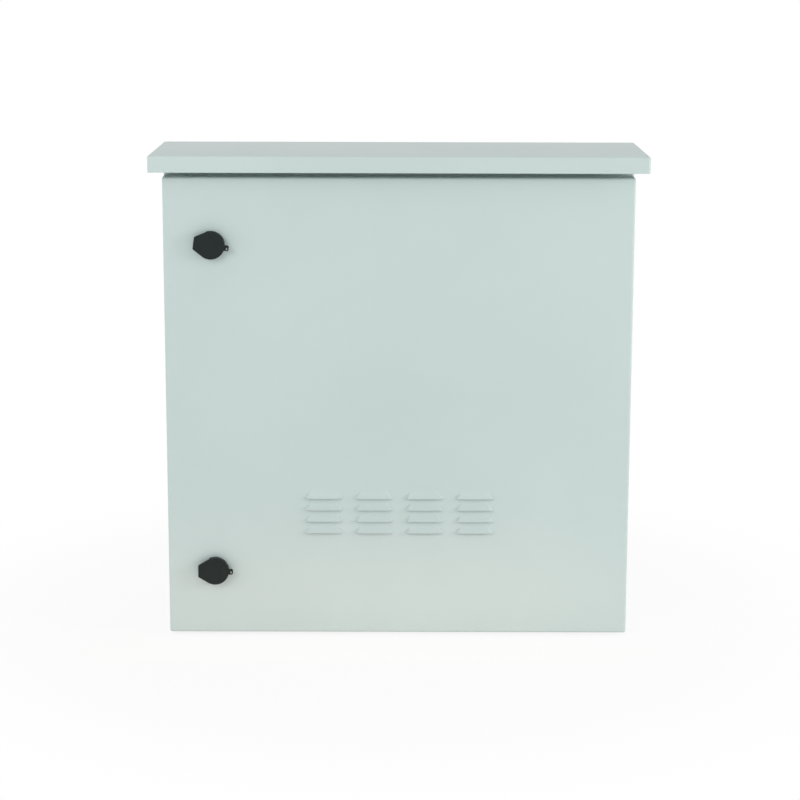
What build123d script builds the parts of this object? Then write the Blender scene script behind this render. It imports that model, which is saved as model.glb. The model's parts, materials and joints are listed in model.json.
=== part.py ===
from build123d import *

import math
import os

# Outdoor utility cabinet of folded, painted sheet steel, in millimetres.
# +X is to the right of someone facing the door, +Y runs from the door to the back, +Z is up.
# The origin is on the ground, under the middle of the rain roof.

# Sheet metal
sheet = 1.5
bend_radius = 3.0
cut_overrun = 5.0

# Body
body_width = 600.0
body_depth = 174.0
roof_lap = 4.8

# Door pan
door_height = 602.0
door_depth = 22.0
door_floor_gap = 4.0
door_frame_gap = 4.0

# Frame lip and door seal
frame_lip = 13.5
gasket_width = 10.0
gasket_round = 3.0
gasket_gap = 0.3
gasket_clearance = 1.9

# Rain roof
roof_front_overhang = 22.0
roof_side_overhang = 16.0
roof_door_gap = 8.2
roof_fascia = 21.5
roof_slope_deg = 2.0
roof_hem = 8.0
roof_rear_clearance = 0.6
roof_rail_inset = 62.0
roof_rail_setback = 20.0
roof_rail_flange = 25.0
roof_stud_inset = 28.0

# Pressed louvres
louvre_columns = 4
louvre_rows = 4
louvre_column_pitch = 65.5
louvre_row_pitch = 15.4
louvre_length = 50.0
louvre_lip_length = 42.4
louvre_top_length = 33.0
louvre_height = 9.0
louvre_rise = 5.0
louvre_flare_share = 0.36
louvre_offset_x = 0.9
louvre_slit_height = 136.8

# Filter behind the louvres
filter_border = 17.0
filter_flange = 14.0
filter_thickness = 9.0
filter_lip = 11.0
filter_clearance = 0.5
filter_stud_radius = 2.0
filter_stud_clearance = 0.25
filter_stud_spare = 2.4
filter_nut_flats = 7.0
filter_nut_height = 3.2

# Door hinges
hinge_side_inset = 8.5
hinge_swing_clearance = 0.6
hinge_end_inset = 92.0
hinge_height = 56.0
hinge_knuckle_height = 26.0
hinge_knuckle_gap = 0.3
hinge_knuckle_radius = 4.75
hinge_pin_radius = 3.0
hinge_pin_clearance = 0.05
hinge_pin_head_radius = 4.4
hinge_pin_head_height = 2.0
hinge_plate = 2.5
hinge_bend = 3.8
hinge_leg_clearance = 1.0
hinge_leaf_margin = 2.6

# Quarter-turn locks
lock_gasket_clearance = 9.2
lock_end_inset = 86.0
upper_lock_tilt_deg = 8.0
lock_flange_height = 5.0
lock_seal_thickness = 1.0
lock_seal_inset = 0.5
lock_barrel_radius = 11.0
lock_hole_clearance = 0.15
lock_key_radius = 8.5
lock_key_floor = 3.0
lock_nut_flats = 27.0
lock_nut_height = 5.0
driver_radius = 6.0
driver_clearance = 0.06
driver_end_play = 0.2
driver_head_height = 2.8
driver_head_clearance = 0.3
driver_triangle_radius = 5.0
driver_triangle_height = 5.0
driver_square = 8.0
cam_clearance = 0.8
cam_thickness = 3.0
cam_width = 19.0
cam_tip_round = 5.0
cam_engagement = 12.0
cam_screw_radius = 3.0
cam_screw_depth = 12.0
cam_screw_tip_gap = 1.5
cam_screw_flats = 10.0
cam_screw_head = 4.0
cam_washer_radius = 7.0
cam_washer_thickness = 1.6

# Dust flap over each lock
flap_radius = 18.0
flap_nose_extension = 4.0
flap_nose_length = 15.6
flap_nose_round = 1.6
flap_plate = 2.5
flap_edge_round = 0.8
flap_skirt = 5.0
flap_skirt_wall = 1.1
flap_skirt_gap = 0.4
flap_skirt_start = 8.0
flap_axis_setback = 2.4
flap_axis_height = 5.8
flap_barrel_radius = 2.2
flap_barrel_gap = 0.3
flap_knuckle_length = 6.6
flap_ear_length = 3.6
flap_pin_radius = 0.9
flap_pin_clearance = 0.05
flap_lug_reach = 5.4
flap_lug_width = 7.2
flap_lug_round = 2.2
flap_lug_drop = 0.7
flap_lug_thickness = 2.2
flap_lug_slot_width = 1.7
flap_lug_slot_length = 3.2
flap_lug_slot_inset = 2.5
flap_lug_slot_drop = 0.9

# Mounting plate inside
plate_margin_x = 85.0
plate_margin_z = 69.5
plate_thickness = 2.0
plate_bend = 4.0
plate_flange = 34.0
plate_step = 12.0
plate_standoff = 20.0
plate_hole_inset = 16.0
plate_hole_clearance = 0.5
plate_stud_radius = 4.0
plate_collar_radius = 8.0
plate_stud_spare = 3.0
plate_nut_flats = 13.0
plate_nut_height = 6.5

# Fixing holes to the outside
wall_hole_radius = 5.0
wall_hole_inset_x = 50.0
wall_hole_inset_z = 59.5
plinth_hole_radius = 6.0
plinth_hole_inset_x = 50.0
plinth_hole_inset_y = 32.0

# Cable entry in the floor
gland_opening_x = 300.0
gland_opening_y = 84.0
gland_land = 16.0
gland_corner = 6.0
gland_plate_thickness = 2.0
gland_gasket_thickness = 2.0
gland_screw_radius = 2.5
gland_screw_clearance = 0.3
gland_screw_head_radius = 4.8
gland_screw_head_height = 3.2
gland_screw_head_bevel = 1.4
grommet_count = 4
grommet_pitch = 68.0
grommet_hole_radius = 20.0
grommet_lip = 3.5
grommet_lip_height = 1.6
grommet_wall = 1.6
grommet_dome_height = 7.0
grommet_dome_radius_share = 0.62
grommet_tip_radius_share = 0.3

# Roof studs and earth studs
m6_radius = 3.0
m6_hole_clearance = 0.3
m6_flats = 10.0
m6_nut = 5.0
m6_spare = 3.0
m6_washer_radius = 7.0
m6_washer_thickness = 1.6
earth_stud_length = 20.0
earth_stud_height = 70.0
earth_stud_setback = 60.0
door_earth_inset = 66.0

# Planes that the pieces share
half_width = body_width / 2
y_back = (roof_front_overhang + door_depth + door_frame_gap + body_depth) / 2
y_wall = y_back - sheet
y_frame = y_back - body_depth
y_frame_back = y_frame + sheet
y_lip = y_frame - frame_lip
y_pan = y_frame - door_frame_gap
y_skin = y_pan - door_depth
y_skin_back = y_skin + sheet
y_roof_front = y_skin - roof_front_overhang
y_middle = (y_frame + y_back) / 2
z_door = door_floor_gap
z_door_top = z_door + door_height
z_fascia = z_door_top + roof_door_gap
z_roof_front = z_fascia + roof_fascia
body_height = z_fascia + roof_lap
z_middle = body_height / 2
roof_pitch = math.radians(roof_slope_deg)

# Hinge axis: the rear corner of the door's edge turns clear of the frame by the swing clearance
x_hinge = half_width - hinge_side_inset
hinge_setback = (hinge_side_inset**2 + door_frame_gap**2 - hinge_swing_clearance**2) / (
    2 * (door_frame_gap - hinge_swing_clearance)
)
y_hinge = y_frame - hinge_setback
hinge_swing = hinge_setback - hinge_swing_clearance
x_hinge_leg = x_hinge - hinge_swing - hinge_leg_clearance - hinge_plate
hinge_heights = {"lower": z_door + hinge_end_inset, "upper": z_door_top - hinge_end_inset}

# The frame lip runs just inside the hinge legs, at the same inset from all four door edges
lip_inset = half_width - x_hinge_leg + gasket_clearance + (gasket_width + sheet) / 2
x_lip = half_width - lip_inset
x_seam = x_lip + bend_radius
z_lip_low = z_door + lip_inset
z_lip_high = z_door_top - lip_inset
gasket_inset = lip_inset - sheet / 2

# Lock axis, and heights and depths measured from the door's outer face
lock_inset = gasket_inset + gasket_width / 2 + lock_gasket_clearance + lock_nut_flats / math.sqrt(3)
x_lock = -half_width + lock_inset
lock_heights = {"lower": z_door + lock_end_inset, "upper": z_door_top - lock_end_inset}
lock_tilts_deg = {"lower": 0, "upper": upper_lock_tilt_deg}
lock_front = lock_seal_thickness + lock_flange_height
lock_flange_radius = flap_radius - flap_skirt_wall - flap_skirt_gap
cam_depth = door_depth + door_frame_gap + sheet + cam_clearance
cam_back = cam_depth + cam_thickness
cam_reach = lock_inset - lip_inset + cam_engagement
barrel_depth = cam_depth - driver_end_play
flap_axis_reach = flap_radius + flap_nose_extension - flap_axis_setback
flap_floor = flap_axis_height + flap_barrel_radius + flap_barrel_gap
flap_top = flap_floor + flap_plate

# Filter pocket, mounting plate and cable entry
filter_half = (louvre_column_pitch * (louvre_columns - 1) + louvre_length) / 2 + filter_border
filter_low = z_door + louvre_slit_height - filter_border
filter_high = filter_low + louvre_row_pitch * (louvre_rows - 1) + louvre_height + 2 * filter_border
plate_half_x = half_width - plate_margin_x
plate_half_z = z_middle - plate_margin_z
gland_gasket_top = sheet + gland_gasket_thickness
gland_plate_top = gland_gasket_top + gland_plate_thickness


def rectangle_corners(reach_across, reach_along, middle_across, middle_along):
    """Four places at the corners of a rectangle."""
    return [
        (middle_across + side * reach_across, middle_along + end * reach_along)
        for side in (-1, 1)
        for end in (-1, 1)
    ]


def centred_row(count, pitch):
    """Evenly spaced places about zero."""
    return [(i - (count - 1) / 2) * pitch for i in range(count)]


wall_hole_places = rectangle_corners(
    half_width - wall_hole_inset_x, z_middle - wall_hole_inset_z, 0, z_middle
)
plinth_hole_places = rectangle_corners(
    half_width - plinth_hole_inset_x, body_depth / 2 - plinth_hole_inset_y, 0, y_middle
)
plate_stud_places = rectangle_corners(
    plate_half_x - plate_hole_inset, plate_half_z - plate_hole_inset, 0, z_middle
)
roof_stud_places = rectangle_corners(
    half_width - roof_rail_inset - roof_rail_flange / 2,
    body_depth / 2 - roof_rail_setback - roof_stud_inset,
    0,
    y_middle,
)
filter_stud_places = rectangle_corners(
    filter_half + (filter_flange + sheet) / 2,
    (filter_high - filter_low) / 2 - filter_border,
    louvre_offset_x,
    (filter_low + filter_high) / 2,
)
gland_screw_places = [
    (x, y_middle + y)
    for x in centred_row(3, (gland_opening_x + gland_land) / 2)
    for y in centred_row(2, gland_opening_y + gland_land)
]
grommet_places = [(x, y_middle) for x in centred_row(grommet_count, grommet_pitch)]
louvre_places = [
    (louvre_offset_x + x, z_door + louvre_slit_height + row * louvre_row_pitch)
    for x in centred_row(louvre_columns, louvre_column_pitch)
    for row in range(louvre_rows)
]


def block(low, high):
    """Box from one corner to the opposite one."""
    size = [abs(b - a) for a, b in zip(low, high)]
    middle = [(a + b) / 2 for a, b in zip(low, high)]
    return Pos(*middle) * Box(*size)


def disc(radius, low, high):
    """Cylinder on the local Z axis, from one height to another."""
    return Pos(0, 0, (low + high) / 2) * Cylinder(radius, high - low)


def hexagon(flats, low, high):
    """Six-sided prism on the local Z axis."""
    outline = RegularPolygon(flats / 2, 6, major_radius=False)
    return Pos(0, 0, low) * extrude(outline, amount=high - low)


def hex_nut(flats, bore, low, high):
    """Hexagon nut on the local Z axis."""
    return hexagon(flats, low, high) - disc(bore, low - cut_overrun, high + cut_overrun)


def facing(origin, direction):
    """Location whose local Z axis points along the direction."""
    return Plane(origin=origin, z_dir=direction).location


def on_door(x, z):
    """Location on the door's outer face, local X to the right, local Y up, local Z outwards."""
    return Plane(origin=(x, y_skin, z), x_dir=(1, 0, 0), z_dir=(0, -1, 0)).location


def behind_door(x, z):
    """Location on the door's inner face, local Z into the cabinet."""
    return facing((x, y_skin_back, z), (0, 1, 0))


def on_back_wall(x, z):
    """Location on the back wall's inner face, local Z into the cabinet."""
    return facing((x, y_wall, z), (0, -1, 0))


def across(section, reach):
    """Section drawn in depth and height, carried as far to the left as to the right."""
    return Pos(-reach, 0, 0) * extrude(Plane.YZ * section, amount=2 * reach)


def folded_section(points, wall=sheet, bend=bend_radius):
    """Section of a folded sheet, whose wall lies to the left of the given path."""
    path = [Vector(*point) for point in points]
    steps = [(after - before).normalized() for before, after in zip(path, path[1:])]
    lefts = [Vector(-step.Y, step.X) for step in steps]
    other = [path[0] + lefts[0] * wall]
    path_bends, other_bends = [], []
    for corner, before, after in zip(path[1:], lefts, lefts[1:]):
        other.append(corner + (before + after) * (wall / (1 + before.dot(after))))
        turns_left = before.cross(after).Z > 0
        path_bends.append(bend if turns_left else bend - wall)
        other_bends.append(bend - wall if turns_left else bend)
    other.append(path[-1] + lefts[-1] * wall)
    outline = Curve() + [
        FilletPolyline(*path, radius=path_bends),
        Line(path[-1], other[-1]),
        FilletPolyline(*other, radius=other_bends),
        Line(other[0], path[0]),
    ]
    return make_face(outline)


def make_body_wrap():
    """Sides and back folded from one sheet, with the front frame and its forward lip."""
    lip = x_lip + sheet
    right = [(lip, y_lip), (lip, y_frame), (half_width, y_frame), (half_width, y_back)]
    left = [(-x, y) for x, y in reversed(right)]
    wrap = extrude(folded_section(right + left), amount=body_height)
    for low, high in ((-cut_overrun, z_lip_low), (z_lip_high, body_height + cut_overrun)):
        wrap -= block((-x_seam, y_lip - cut_overrun, low), (x_seam, y_frame_back + bend_radius, high))
    hole = disc(wall_hole_radius, -sheet - cut_overrun, cut_overrun)
    return wrap - [on_back_wall(x, z) * hole for x, z in wall_hole_places]


def make_end_pan(frame_height):
    """Floor sheet, folded up in front into the frame and its lip, and behind against the back wall."""
    lip = frame_height - sheet
    section = [(y_lip, lip), (y_frame, lip), (y_frame, 0), (y_wall, 0), (y_wall, lip_inset)]
    pan = across(folded_section(section), x_seam)
    wing = block((x_seam, y_frame_back, 0), (half_width - sheet, y_wall, sheet))
    wing = fillet(wing.edges().filter_by(Axis.Z).group_by(Axis.X)[-1], bend_radius)
    return pan + [wing, wing.mirror(Plane.YZ)]


def make_floor_pan():
    """Floor with the cable entry, its screw holes and the base fixing holes."""
    low, high = -cut_overrun, sheet + cut_overrun
    pan = make_end_pan(z_lip_low) - gland_rectangle(0, low, high)
    pan -= [Pos(x, y, 0) * disc(gland_screw_radius, low, high) for x, y in gland_screw_places]
    return pan - [Pos(x, y, 0) * disc(plinth_hole_radius, low, high) for x, y in plinth_hole_places]


def make_top_pan():
    """Top sheet under the roof, a floor pan upside down, drilled for the roof studs."""
    pan = Pos(0, 0, body_height) * make_end_pan(body_height - z_lip_high).mirror(Plane.XY)
    hole = disc(m6_radius + m6_hole_clearance, -sheet - cut_overrun, cut_overrun)
    return pan - [Pos(x, y, body_height) * hole for x, y in roof_stud_places]


def roof_height(y, depth):
    """Height at which a layer lies, so deep under the roof's sloping outer face."""
    return z_roof_front - depth / math.cos(roof_pitch) - (y - y_roof_front) * math.tan(roof_pitch)


def roof_wedge(inset, floor):
    """Roof's wedge, drawn in by an inset from every face but the bottom."""
    front, back = y_roof_front + inset, y_back - inset
    side = Polyline(
        (front, floor),
        (front, roof_height(front, inset)),
        (back, roof_height(back, inset)),
        (back, floor),
        close=True,
    )
    wedge = across(make_face(side), half_width + roof_side_overhang - inset)
    bottom = wedge.edges().group_by(Axis.Z)[0]
    return fillet([edge for edge in wedge.edges() if edge not in bottom], bend_radius - inset)


def make_roof_hood():
    """Rain roof with a fascia all round, hemmed inwards and notched over the body's back."""
    hood = roof_wedge(0, z_fascia) - roof_wedge(sheet, z_fascia + sheet)
    hem = half_width + roof_side_overhang - roof_hem
    notch = half_width + roof_rear_clearance
    low = z_fascia - cut_overrun
    hood -= block((-hem, y_roof_front + roof_hem, low), (hem, y_wall, z_fascia + sheet + cut_overrun))
    return hood - block(
        (-notch, y_wall - bend_radius, low),
        (notch, y_back + cut_overrun, body_height + roof_rear_clearance),
    )


def make_roof_rail():
    """Right-hand folded rail: foot on the body's top, web, and an upper flange on the slope."""
    front, back = y_frame + roof_rail_setback, y_back - roof_rail_setback
    web_x = half_width - roof_rail_inset
    upper = [(y, roof_height(y, sheet)) for y in (back, front)]
    lower = [(y, roof_height(y, 2 * sheet)) for y in (front, back)]
    web = Plane.YZ * make_face(Polyline((front, body_height), (back, body_height), *upper, close=True))
    flange = Plane.YZ * make_face(Polyline(*lower, *upper, close=True))
    foot = block((web_x - roof_rail_flange, front, body_height), (web_x, back, body_height + sheet))
    rail = foot + Pos(web_x - sheet, 0, 0) * extrude(web, amount=sheet)
    return rail + Pos(web_x - sheet, 0, 0) * extrude(flange, amount=roof_rail_flange)


def make_roof_studs():
    """Studs welded under the rails' feet, down through the top pan."""
    stud = disc(m6_radius, -sheet - m6_washer_thickness - m6_nut - m6_spare, 0)
    return [Pos(x, y, body_height) * stud for x, y in roof_stud_places]


def washered_nut():
    """Nut with its washer, seated at zero on the local Z axis."""
    top = m6_washer_thickness + m6_nut
    nut = disc(m6_washer_radius, 0, m6_washer_thickness) + hexagon(m6_flats, m6_washer_thickness, top)
    return nut - disc(m6_radius, -cut_overrun, top + cut_overrun)


def make_roof_nuts():
    """Nuts inside the cabinet, which keep the roof on."""
    under = body_height - sheet
    return [facing((x, y, under), (0, 0, -1)) * washered_nut() for x, y in roof_stud_places]


def door_slab(inset, front, back):
    """Block in the door's outline, drawn in by an inset from its four edges."""
    return block(
        (-half_width + inset, front, z_door + inset),
        (half_width - inset, back, z_door_top - inset),
    )


def door_tray(inset, back):
    """Slab with the door's rounded front and corners."""
    slab = door_slab(inset, y_skin + inset, back)
    rear = slab.faces().sort_by(Axis.Y)[-1].edges()
    return fillet([edge for edge in slab.edges() if edge not in rear], bend_radius - inset)


def louvre_wedge(back):
    """Form of a louvre: a face that flares out to the slit, and a slanting facet at each end."""
    lip, top = (-louvre_rise, 0), (0, louvre_height)
    flare = ThreePointArc(lip, (-louvre_rise * louvre_flare_share, louvre_height / 2), top)
    section = Curve() + [flare, Polyline(top, (back, louvre_height), (back, 0), lip)]
    wedge = across(make_face(section), louvre_length / 2)
    corner = Vector(louvre_length / 2, 0, 0)
    lip_end = Vector(louvre_lip_length / 2, -louvre_rise, 0)
    top_end = Vector(louvre_top_length / 2, 0, louvre_height)
    outwards = (top_end - corner).cross(lip_end - corner)
    reach = louvre_length
    wedge -= facing(corner, outwards) * block((-reach, -reach, 0), (reach, reach, reach))
    return wedge & wedge.mirror(Plane.YZ)


def make_door_panel():
    """Door folded as a shallow pan, with the pressed louvres and the lock holes."""
    pan = door_tray(0, y_pan) - door_tray(sheet, y_pan + cut_overrun)
    hood = louvre_wedge(sheet)
    hollow = louvre_wedge(cut_overrun)
    pan += [Pos(x, y_skin, z) * hood for x, z in louvre_places]
    pan -= [Pos(x, y_skin_back, z) * hollow for x, z in louvre_places]
    hole = disc(lock_barrel_radius + lock_hole_clearance, -sheet - cut_overrun, cut_overrun)
    return pan - [on_door(x_lock, z) * hole for z in lock_heights.values()]


def make_door_gasket():
    """Foam seal on the door's back, crowned towards the frame lip."""
    back = y_lip - gasket_gap
    ring = door_slab(gasket_inset - gasket_width / 2, y_skin_back, back)
    ring -= door_slab(gasket_inset + gasket_width / 2, y_skin_back - cut_overrun, back + cut_overrun)
    return fillet(ring.edges().group_by(Axis.Y)[-1], gasket_round)


def make_filter_tray():
    """Folded tray that holds the filter mat against the door, with a window in its back."""
    back = y_skin_back + filter_thickness + sheet
    wall = filter_half + sheet
    half_hat = [(wall, back), (wall, y_skin_back + sheet), (filter_half + filter_flange, y_skin_back + sheet)]
    hat = [(-x, y) for x, y in reversed(half_hat)] + half_hat
    low, high = filter_low - sheet, filter_high + sheet
    tray = Pos(0, 0, low) * extrude(folded_section(list(reversed(hat))), amount=high - low)
    for start, end in ((low, filter_low), (filter_high, high)):
        tray += block((-filter_half, y_skin_back, start), (filter_half, back - sheet, end))
    window = filter_half - filter_lip
    tray -= block(
        (-window, y_skin_back, filter_low + filter_lip),
        (window, back + cut_overrun, filter_high - filter_lip),
    )
    hole = disc(filter_stud_radius + filter_stud_clearance, -cut_overrun, sheet + cut_overrun)
    tray = Pos(louvre_offset_x, 0, 0) * tray
    return tray - [behind_door(x, z) * hole for x, z in filter_stud_places]


def make_filter_mat():
    """Fibre mat between the louvres and the tray."""
    inset = bend_radius - sheet + filter_clearance
    reach = filter_half - inset
    return block(
        (louvre_offset_x - reach, y_skin_back, filter_low + inset),
        (louvre_offset_x + reach, y_skin_back + filter_thickness, filter_high - inset),
    )


def make_filter_studs():
    """Weld studs on the door's back."""
    stud = disc(filter_stud_radius, 0, sheet + filter_nut_height + filter_stud_spare)
    return [behind_door(x, z) * stud for x, z in filter_stud_places]


def make_filter_nuts():
    """Nuts that hold the tray on its studs."""
    nut = hex_nut(filter_nut_flats, filter_stud_radius, sheet, sheet + filter_nut_height)
    return [behind_door(x, z) * nut for x, z in filter_stud_places]


def make_hinge_bracket(middle):
    """Gooseneck welded to the frame, with a knuckle above and one below the door's own."""
    low, high = middle - hinge_height / 2, middle + hinge_height / 2
    foot_reach = math.sqrt(hinge_swing**2 - (hinge_setback - hinge_plate) ** 2) + hinge_leg_clearance
    arm = y_hinge - hinge_plate / 2
    neck = [(x_hinge - foot_reach, y_frame), (x_hinge_leg, y_frame), (x_hinge_leg, arm), (x_hinge, arm)]
    section = folded_section(neck, hinge_plate, hinge_bend)
    section += Pos(x_hinge, y_hinge) * Circle(hinge_knuckle_radius)
    section -= Pos(x_hinge, y_hinge) * Circle(hinge_pin_radius)
    bracket = Pos(0, 0, low) * extrude(section, amount=high - low)
    slot = hinge_knuckle_height / 2 + hinge_knuckle_gap
    return bracket - block(
        (x_hinge_leg + hinge_bend, y_skin, middle - slot),
        (half_width, y_frame - hinge_bend, middle + slot),
    )


def make_hinge_leaf(middle):
    """Leaf on the inside of the door's edge, with the knuckle that turns on the pin."""
    low, high = middle - hinge_knuckle_height / 2, middle + hinge_knuckle_height / 2
    edge = half_width - sheet
    leaf = block(
        (edge - hinge_plate, y_skin_back + hinge_leaf_margin, low),
        (edge, y_pan - hinge_leaf_margin, high),
    )
    leaf += block((x_hinge, y_hinge - hinge_plate, low), (edge, y_hinge + hinge_plate, high))
    axis = Pos(x_hinge, y_hinge, 0)
    leaf += axis * disc(hinge_knuckle_radius, low, high)
    return leaf - axis * disc(hinge_pin_radius + hinge_pin_clearance, low - cut_overrun, high + cut_overrun)


def make_hinge_pin(middle):
    """Headed pin dropped in from above."""
    low, high = middle - hinge_height / 2, middle + hinge_height / 2
    head = disc(hinge_pin_head_radius, high, high + hinge_pin_head_height)
    return Pos(x_hinge, y_hinge, 0) * (disc(hinge_pin_radius, low, high) + head)


def on_flap_axis(start):
    """Location on a flap's hinge axis, in the lock's own frame, local Z along the axis."""
    return facing((-flap_axis_reach, start, flap_axis_height), (0, 1, 0))


def make_lock_housing():
    """Flanged barrel with the key recess, and two ears for the flap's pin."""
    housing = disc(lock_flange_radius, lock_seal_thickness, lock_front)
    housing += disc(lock_barrel_radius, -barrel_depth, lock_front)
    inner_end = flap_knuckle_length / 2 + flap_barrel_gap
    for start in (inner_end, -inner_end - flap_ear_length):
        ear = on_flap_axis(start) * disc(flap_barrel_radius, 0, flap_ear_length)
        ear += block(
            (-flap_axis_reach, start, flap_axis_height - flap_barrel_radius),
            (-lock_barrel_radius, start + flap_ear_length, lock_front),
        )
        bore = disc(flap_pin_radius, -cut_overrun, flap_ear_length + cut_overrun)
        housing += ear - on_flap_axis(start) * bore
    housing -= disc(lock_key_radius, -lock_key_floor, lock_front + cut_overrun)
    return housing - disc(driver_radius + driver_clearance, -barrel_depth - cut_overrun, 0)


def make_lock_seal():
    """Rubber washer under the housing's flange."""
    hole = disc(lock_barrel_radius + lock_hole_clearance, -cut_overrun, lock_seal_thickness + cut_overrun)
    return disc(lock_flange_radius - lock_seal_inset, 0, lock_seal_thickness) - hole


def make_lock_nut():
    """Large nut that clamps the housing from behind the skin."""
    return hex_nut(lock_nut_flats, lock_barrel_radius, -sheet - lock_nut_height, -sheet)


def make_lock_driver():
    """Turning insert: three-sided key head in front, square end for the cam behind."""
    head = driver_head_height - lock_key_floor
    driver = disc(lock_key_radius - driver_head_clearance, -lock_key_floor, head)
    key = RegularPolygon(driver_triangle_radius, 3, rotation=90)
    driver += Pos(0, 0, head) * extrude(key, amount=driver_triangle_height)
    driver += disc(driver_radius, -cam_depth, head)
    driver += Pos(0, 0, -cam_back) * extrude(Rectangle(driver_square, driver_square), amount=cam_thickness)
    bore = cam_screw_depth + cam_screw_tip_gap
    return driver - disc(cam_screw_radius, -cam_back - cut_overrun, -cam_back + bore)


def make_lock_cam():
    """Flat tongue that hangs down when unlocked and turns behind the frame."""
    tongue = Circle(cam_width / 2) + Pos(0, -cam_reach / 2) * Rectangle(cam_width, cam_reach)
    tongue = fillet(tongue.vertices().group_by(Axis.Y)[0], cam_tip_round)
    tongue -= Rectangle(driver_square, driver_square)
    return Pos(0, 0, -cam_back) * extrude(tongue, amount=cam_thickness)


def make_cam_screw():
    """Hexagon screw and washer that hold the cam on the driver."""
    washer = -cam_back - cam_washer_thickness
    screw = disc(cam_washer_radius, washer, -cam_back)
    screw += hexagon(cam_screw_flats, washer - cam_screw_head, washer)
    return screw + disc(cam_screw_radius, washer, -cam_back + cam_screw_depth)


def flap_outline():
    """Round cap drawn out by two tangents to a straight nose, where the hinge is."""
    corner = Vector(-flap_radius - flap_nose_extension, flap_nose_length / 2)
    angle = math.atan2(corner.Y, corner.X) - math.acos(flap_radius / corner.length)
    touch = Vector(math.cos(angle), math.sin(angle)) * flap_radius
    low_corner, low_touch = (Vector(point.X, -point.Y) for point in (corner, touch))
    outline = Curve() + [
        FilletPolyline(touch, corner, low_corner, low_touch, radius=flap_nose_round),
        ThreePointArc(low_touch, (flap_radius, 0), touch),
    ]
    return make_face(outline)


def make_flap_lug():
    """Slotted lug at the free edge of a flap, to lift it by."""
    inner, outer = flap_radius - flap_skirt_wall, flap_radius + flap_lug_reach
    tab = Pos((inner + outer) / 2, -flap_lug_drop) * Rectangle(outer - inner, flap_lug_width)
    tab = fillet(tab.vertices().group_by(Axis.X)[-1], flap_lug_round)
    slot = SlotOverall(flap_lug_slot_length, flap_lug_slot_width, rotation=90)
    tab -= Pos(outer - flap_lug_slot_inset, -flap_lug_drop - flap_lug_slot_drop) * slot
    top = flap_top - flap_edge_round
    return Pos(0, 0, top - flap_lug_thickness) * extrude(tab, amount=flap_lug_thickness)


def make_lock_flap():
    """Dust flap: plate, skirt round the flange, knuckle under the nose and a slotted lug."""
    plate = Pos(0, 0, flap_floor) * extrude(flap_outline(), amount=flap_plate)
    plate = fillet(plate.faces().sort_by(Axis.Z)[-1].edges(), flap_edge_round)
    skirt_low = flap_floor - flap_skirt
    skirt = disc(flap_radius, skirt_low, flap_floor)
    skirt -= disc(flap_radius - flap_skirt_wall, skirt_low - cut_overrun, flap_floor + cut_overrun)
    skirt &= block((-flap_skirt_start, -flap_radius, skirt_low), (flap_radius, flap_radius, flap_floor))
    half = flap_knuckle_length / 2
    knuckle = on_flap_axis(-half) * disc(flap_barrel_radius, 0, flap_knuckle_length)
    knuckle += block(
        (-flap_axis_reach - flap_barrel_radius, -half, flap_axis_height),
        (-flap_axis_reach + flap_barrel_radius, half, flap_floor),
    )
    bore = disc(flap_pin_radius + flap_pin_clearance, -cut_overrun, flap_knuckle_length + cut_overrun)
    return plate + skirt + knuckle + make_flap_lug() - on_flap_axis(-half) * bore


def make_flap_pin():
    """Pin through the housing's ears and the flap's knuckle."""
    half = flap_knuckle_length / 2 + flap_barrel_gap + flap_ear_length
    return on_flap_axis(0) * disc(flap_pin_radius, -half, half)


def make_mounting_plate():
    """Equipment plate, whose middle stands forward of the two flanges that seat on the studs."""
    seat = y_wall - plate_standoff
    riser = plate_half_x - plate_flange
    right = [(plate_half_x, seat), (riser, seat), (riser, seat - plate_step)]
    left = [(-x, y) for x, y in reversed(right)]
    section = folded_section(right + left, plate_thickness, plate_bend)
    plate = Pos(0, 0, z_middle - plate_half_z) * extrude(section, amount=2 * plate_half_z)
    top = plate_standoff + plate_thickness
    hole = disc(plate_stud_radius + plate_hole_clearance, plate_standoff - cut_overrun, top + cut_overrun)
    return plate - [on_back_wall(x, z) * hole for x, z in plate_stud_places]


def make_plate_standoffs():
    """Threaded studs with a collar, welded to the back wall."""
    tip = plate_standoff + plate_thickness + plate_nut_height + plate_stud_spare
    post = disc(plate_collar_radius, 0, plate_standoff) + disc(plate_stud_radius, 0, tip)
    return [on_back_wall(x, z) * post for x, z in plate_stud_places]


def make_plate_nuts():
    """Nuts that hold the mounting plate on its studs."""
    seat = plate_standoff + plate_thickness
    nut = hex_nut(plate_nut_flats, plate_stud_radius, seat, seat + plate_nut_height)
    return [on_back_wall(x, z) * nut for x, z in plate_stud_places]


def gland_rectangle(land, low, high):
    """Rounded rectangle over the cable entry, wider by a land on every side."""
    outline = RectangleRounded(gland_opening_x + 2 * land, gland_opening_y + 2 * land, gland_corner)
    return Pos(0, y_middle, low) * extrude(outline, amount=high - low)


def drilled_gland_sheet(low, high):
    """Sheet over the cable entry and its land, with clearance holes for the screws."""
    hole = disc(gland_screw_radius + gland_screw_clearance, low - cut_overrun, high + cut_overrun)
    return gland_rectangle(gland_land, low, high) - [Pos(x, y, 0) * hole for x, y in gland_screw_places]


def make_gland_gasket():
    """Flat seal between the floor and the gland plate."""
    opening = gland_rectangle(0, sheet - cut_overrun, gland_gasket_top + cut_overrun)
    return drilled_gland_sheet(sheet, gland_gasket_top) - opening


def make_gland_plate():
    """Removable plate with the cable entries."""
    hole = disc(grommet_hole_radius, gland_gasket_top - cut_overrun, gland_plate_top + cut_overrun)
    plate = drilled_gland_sheet(gland_gasket_top, gland_plate_top)
    return plate - [Pos(x, y, 0) * hole for x, y in grommet_places]


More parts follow.
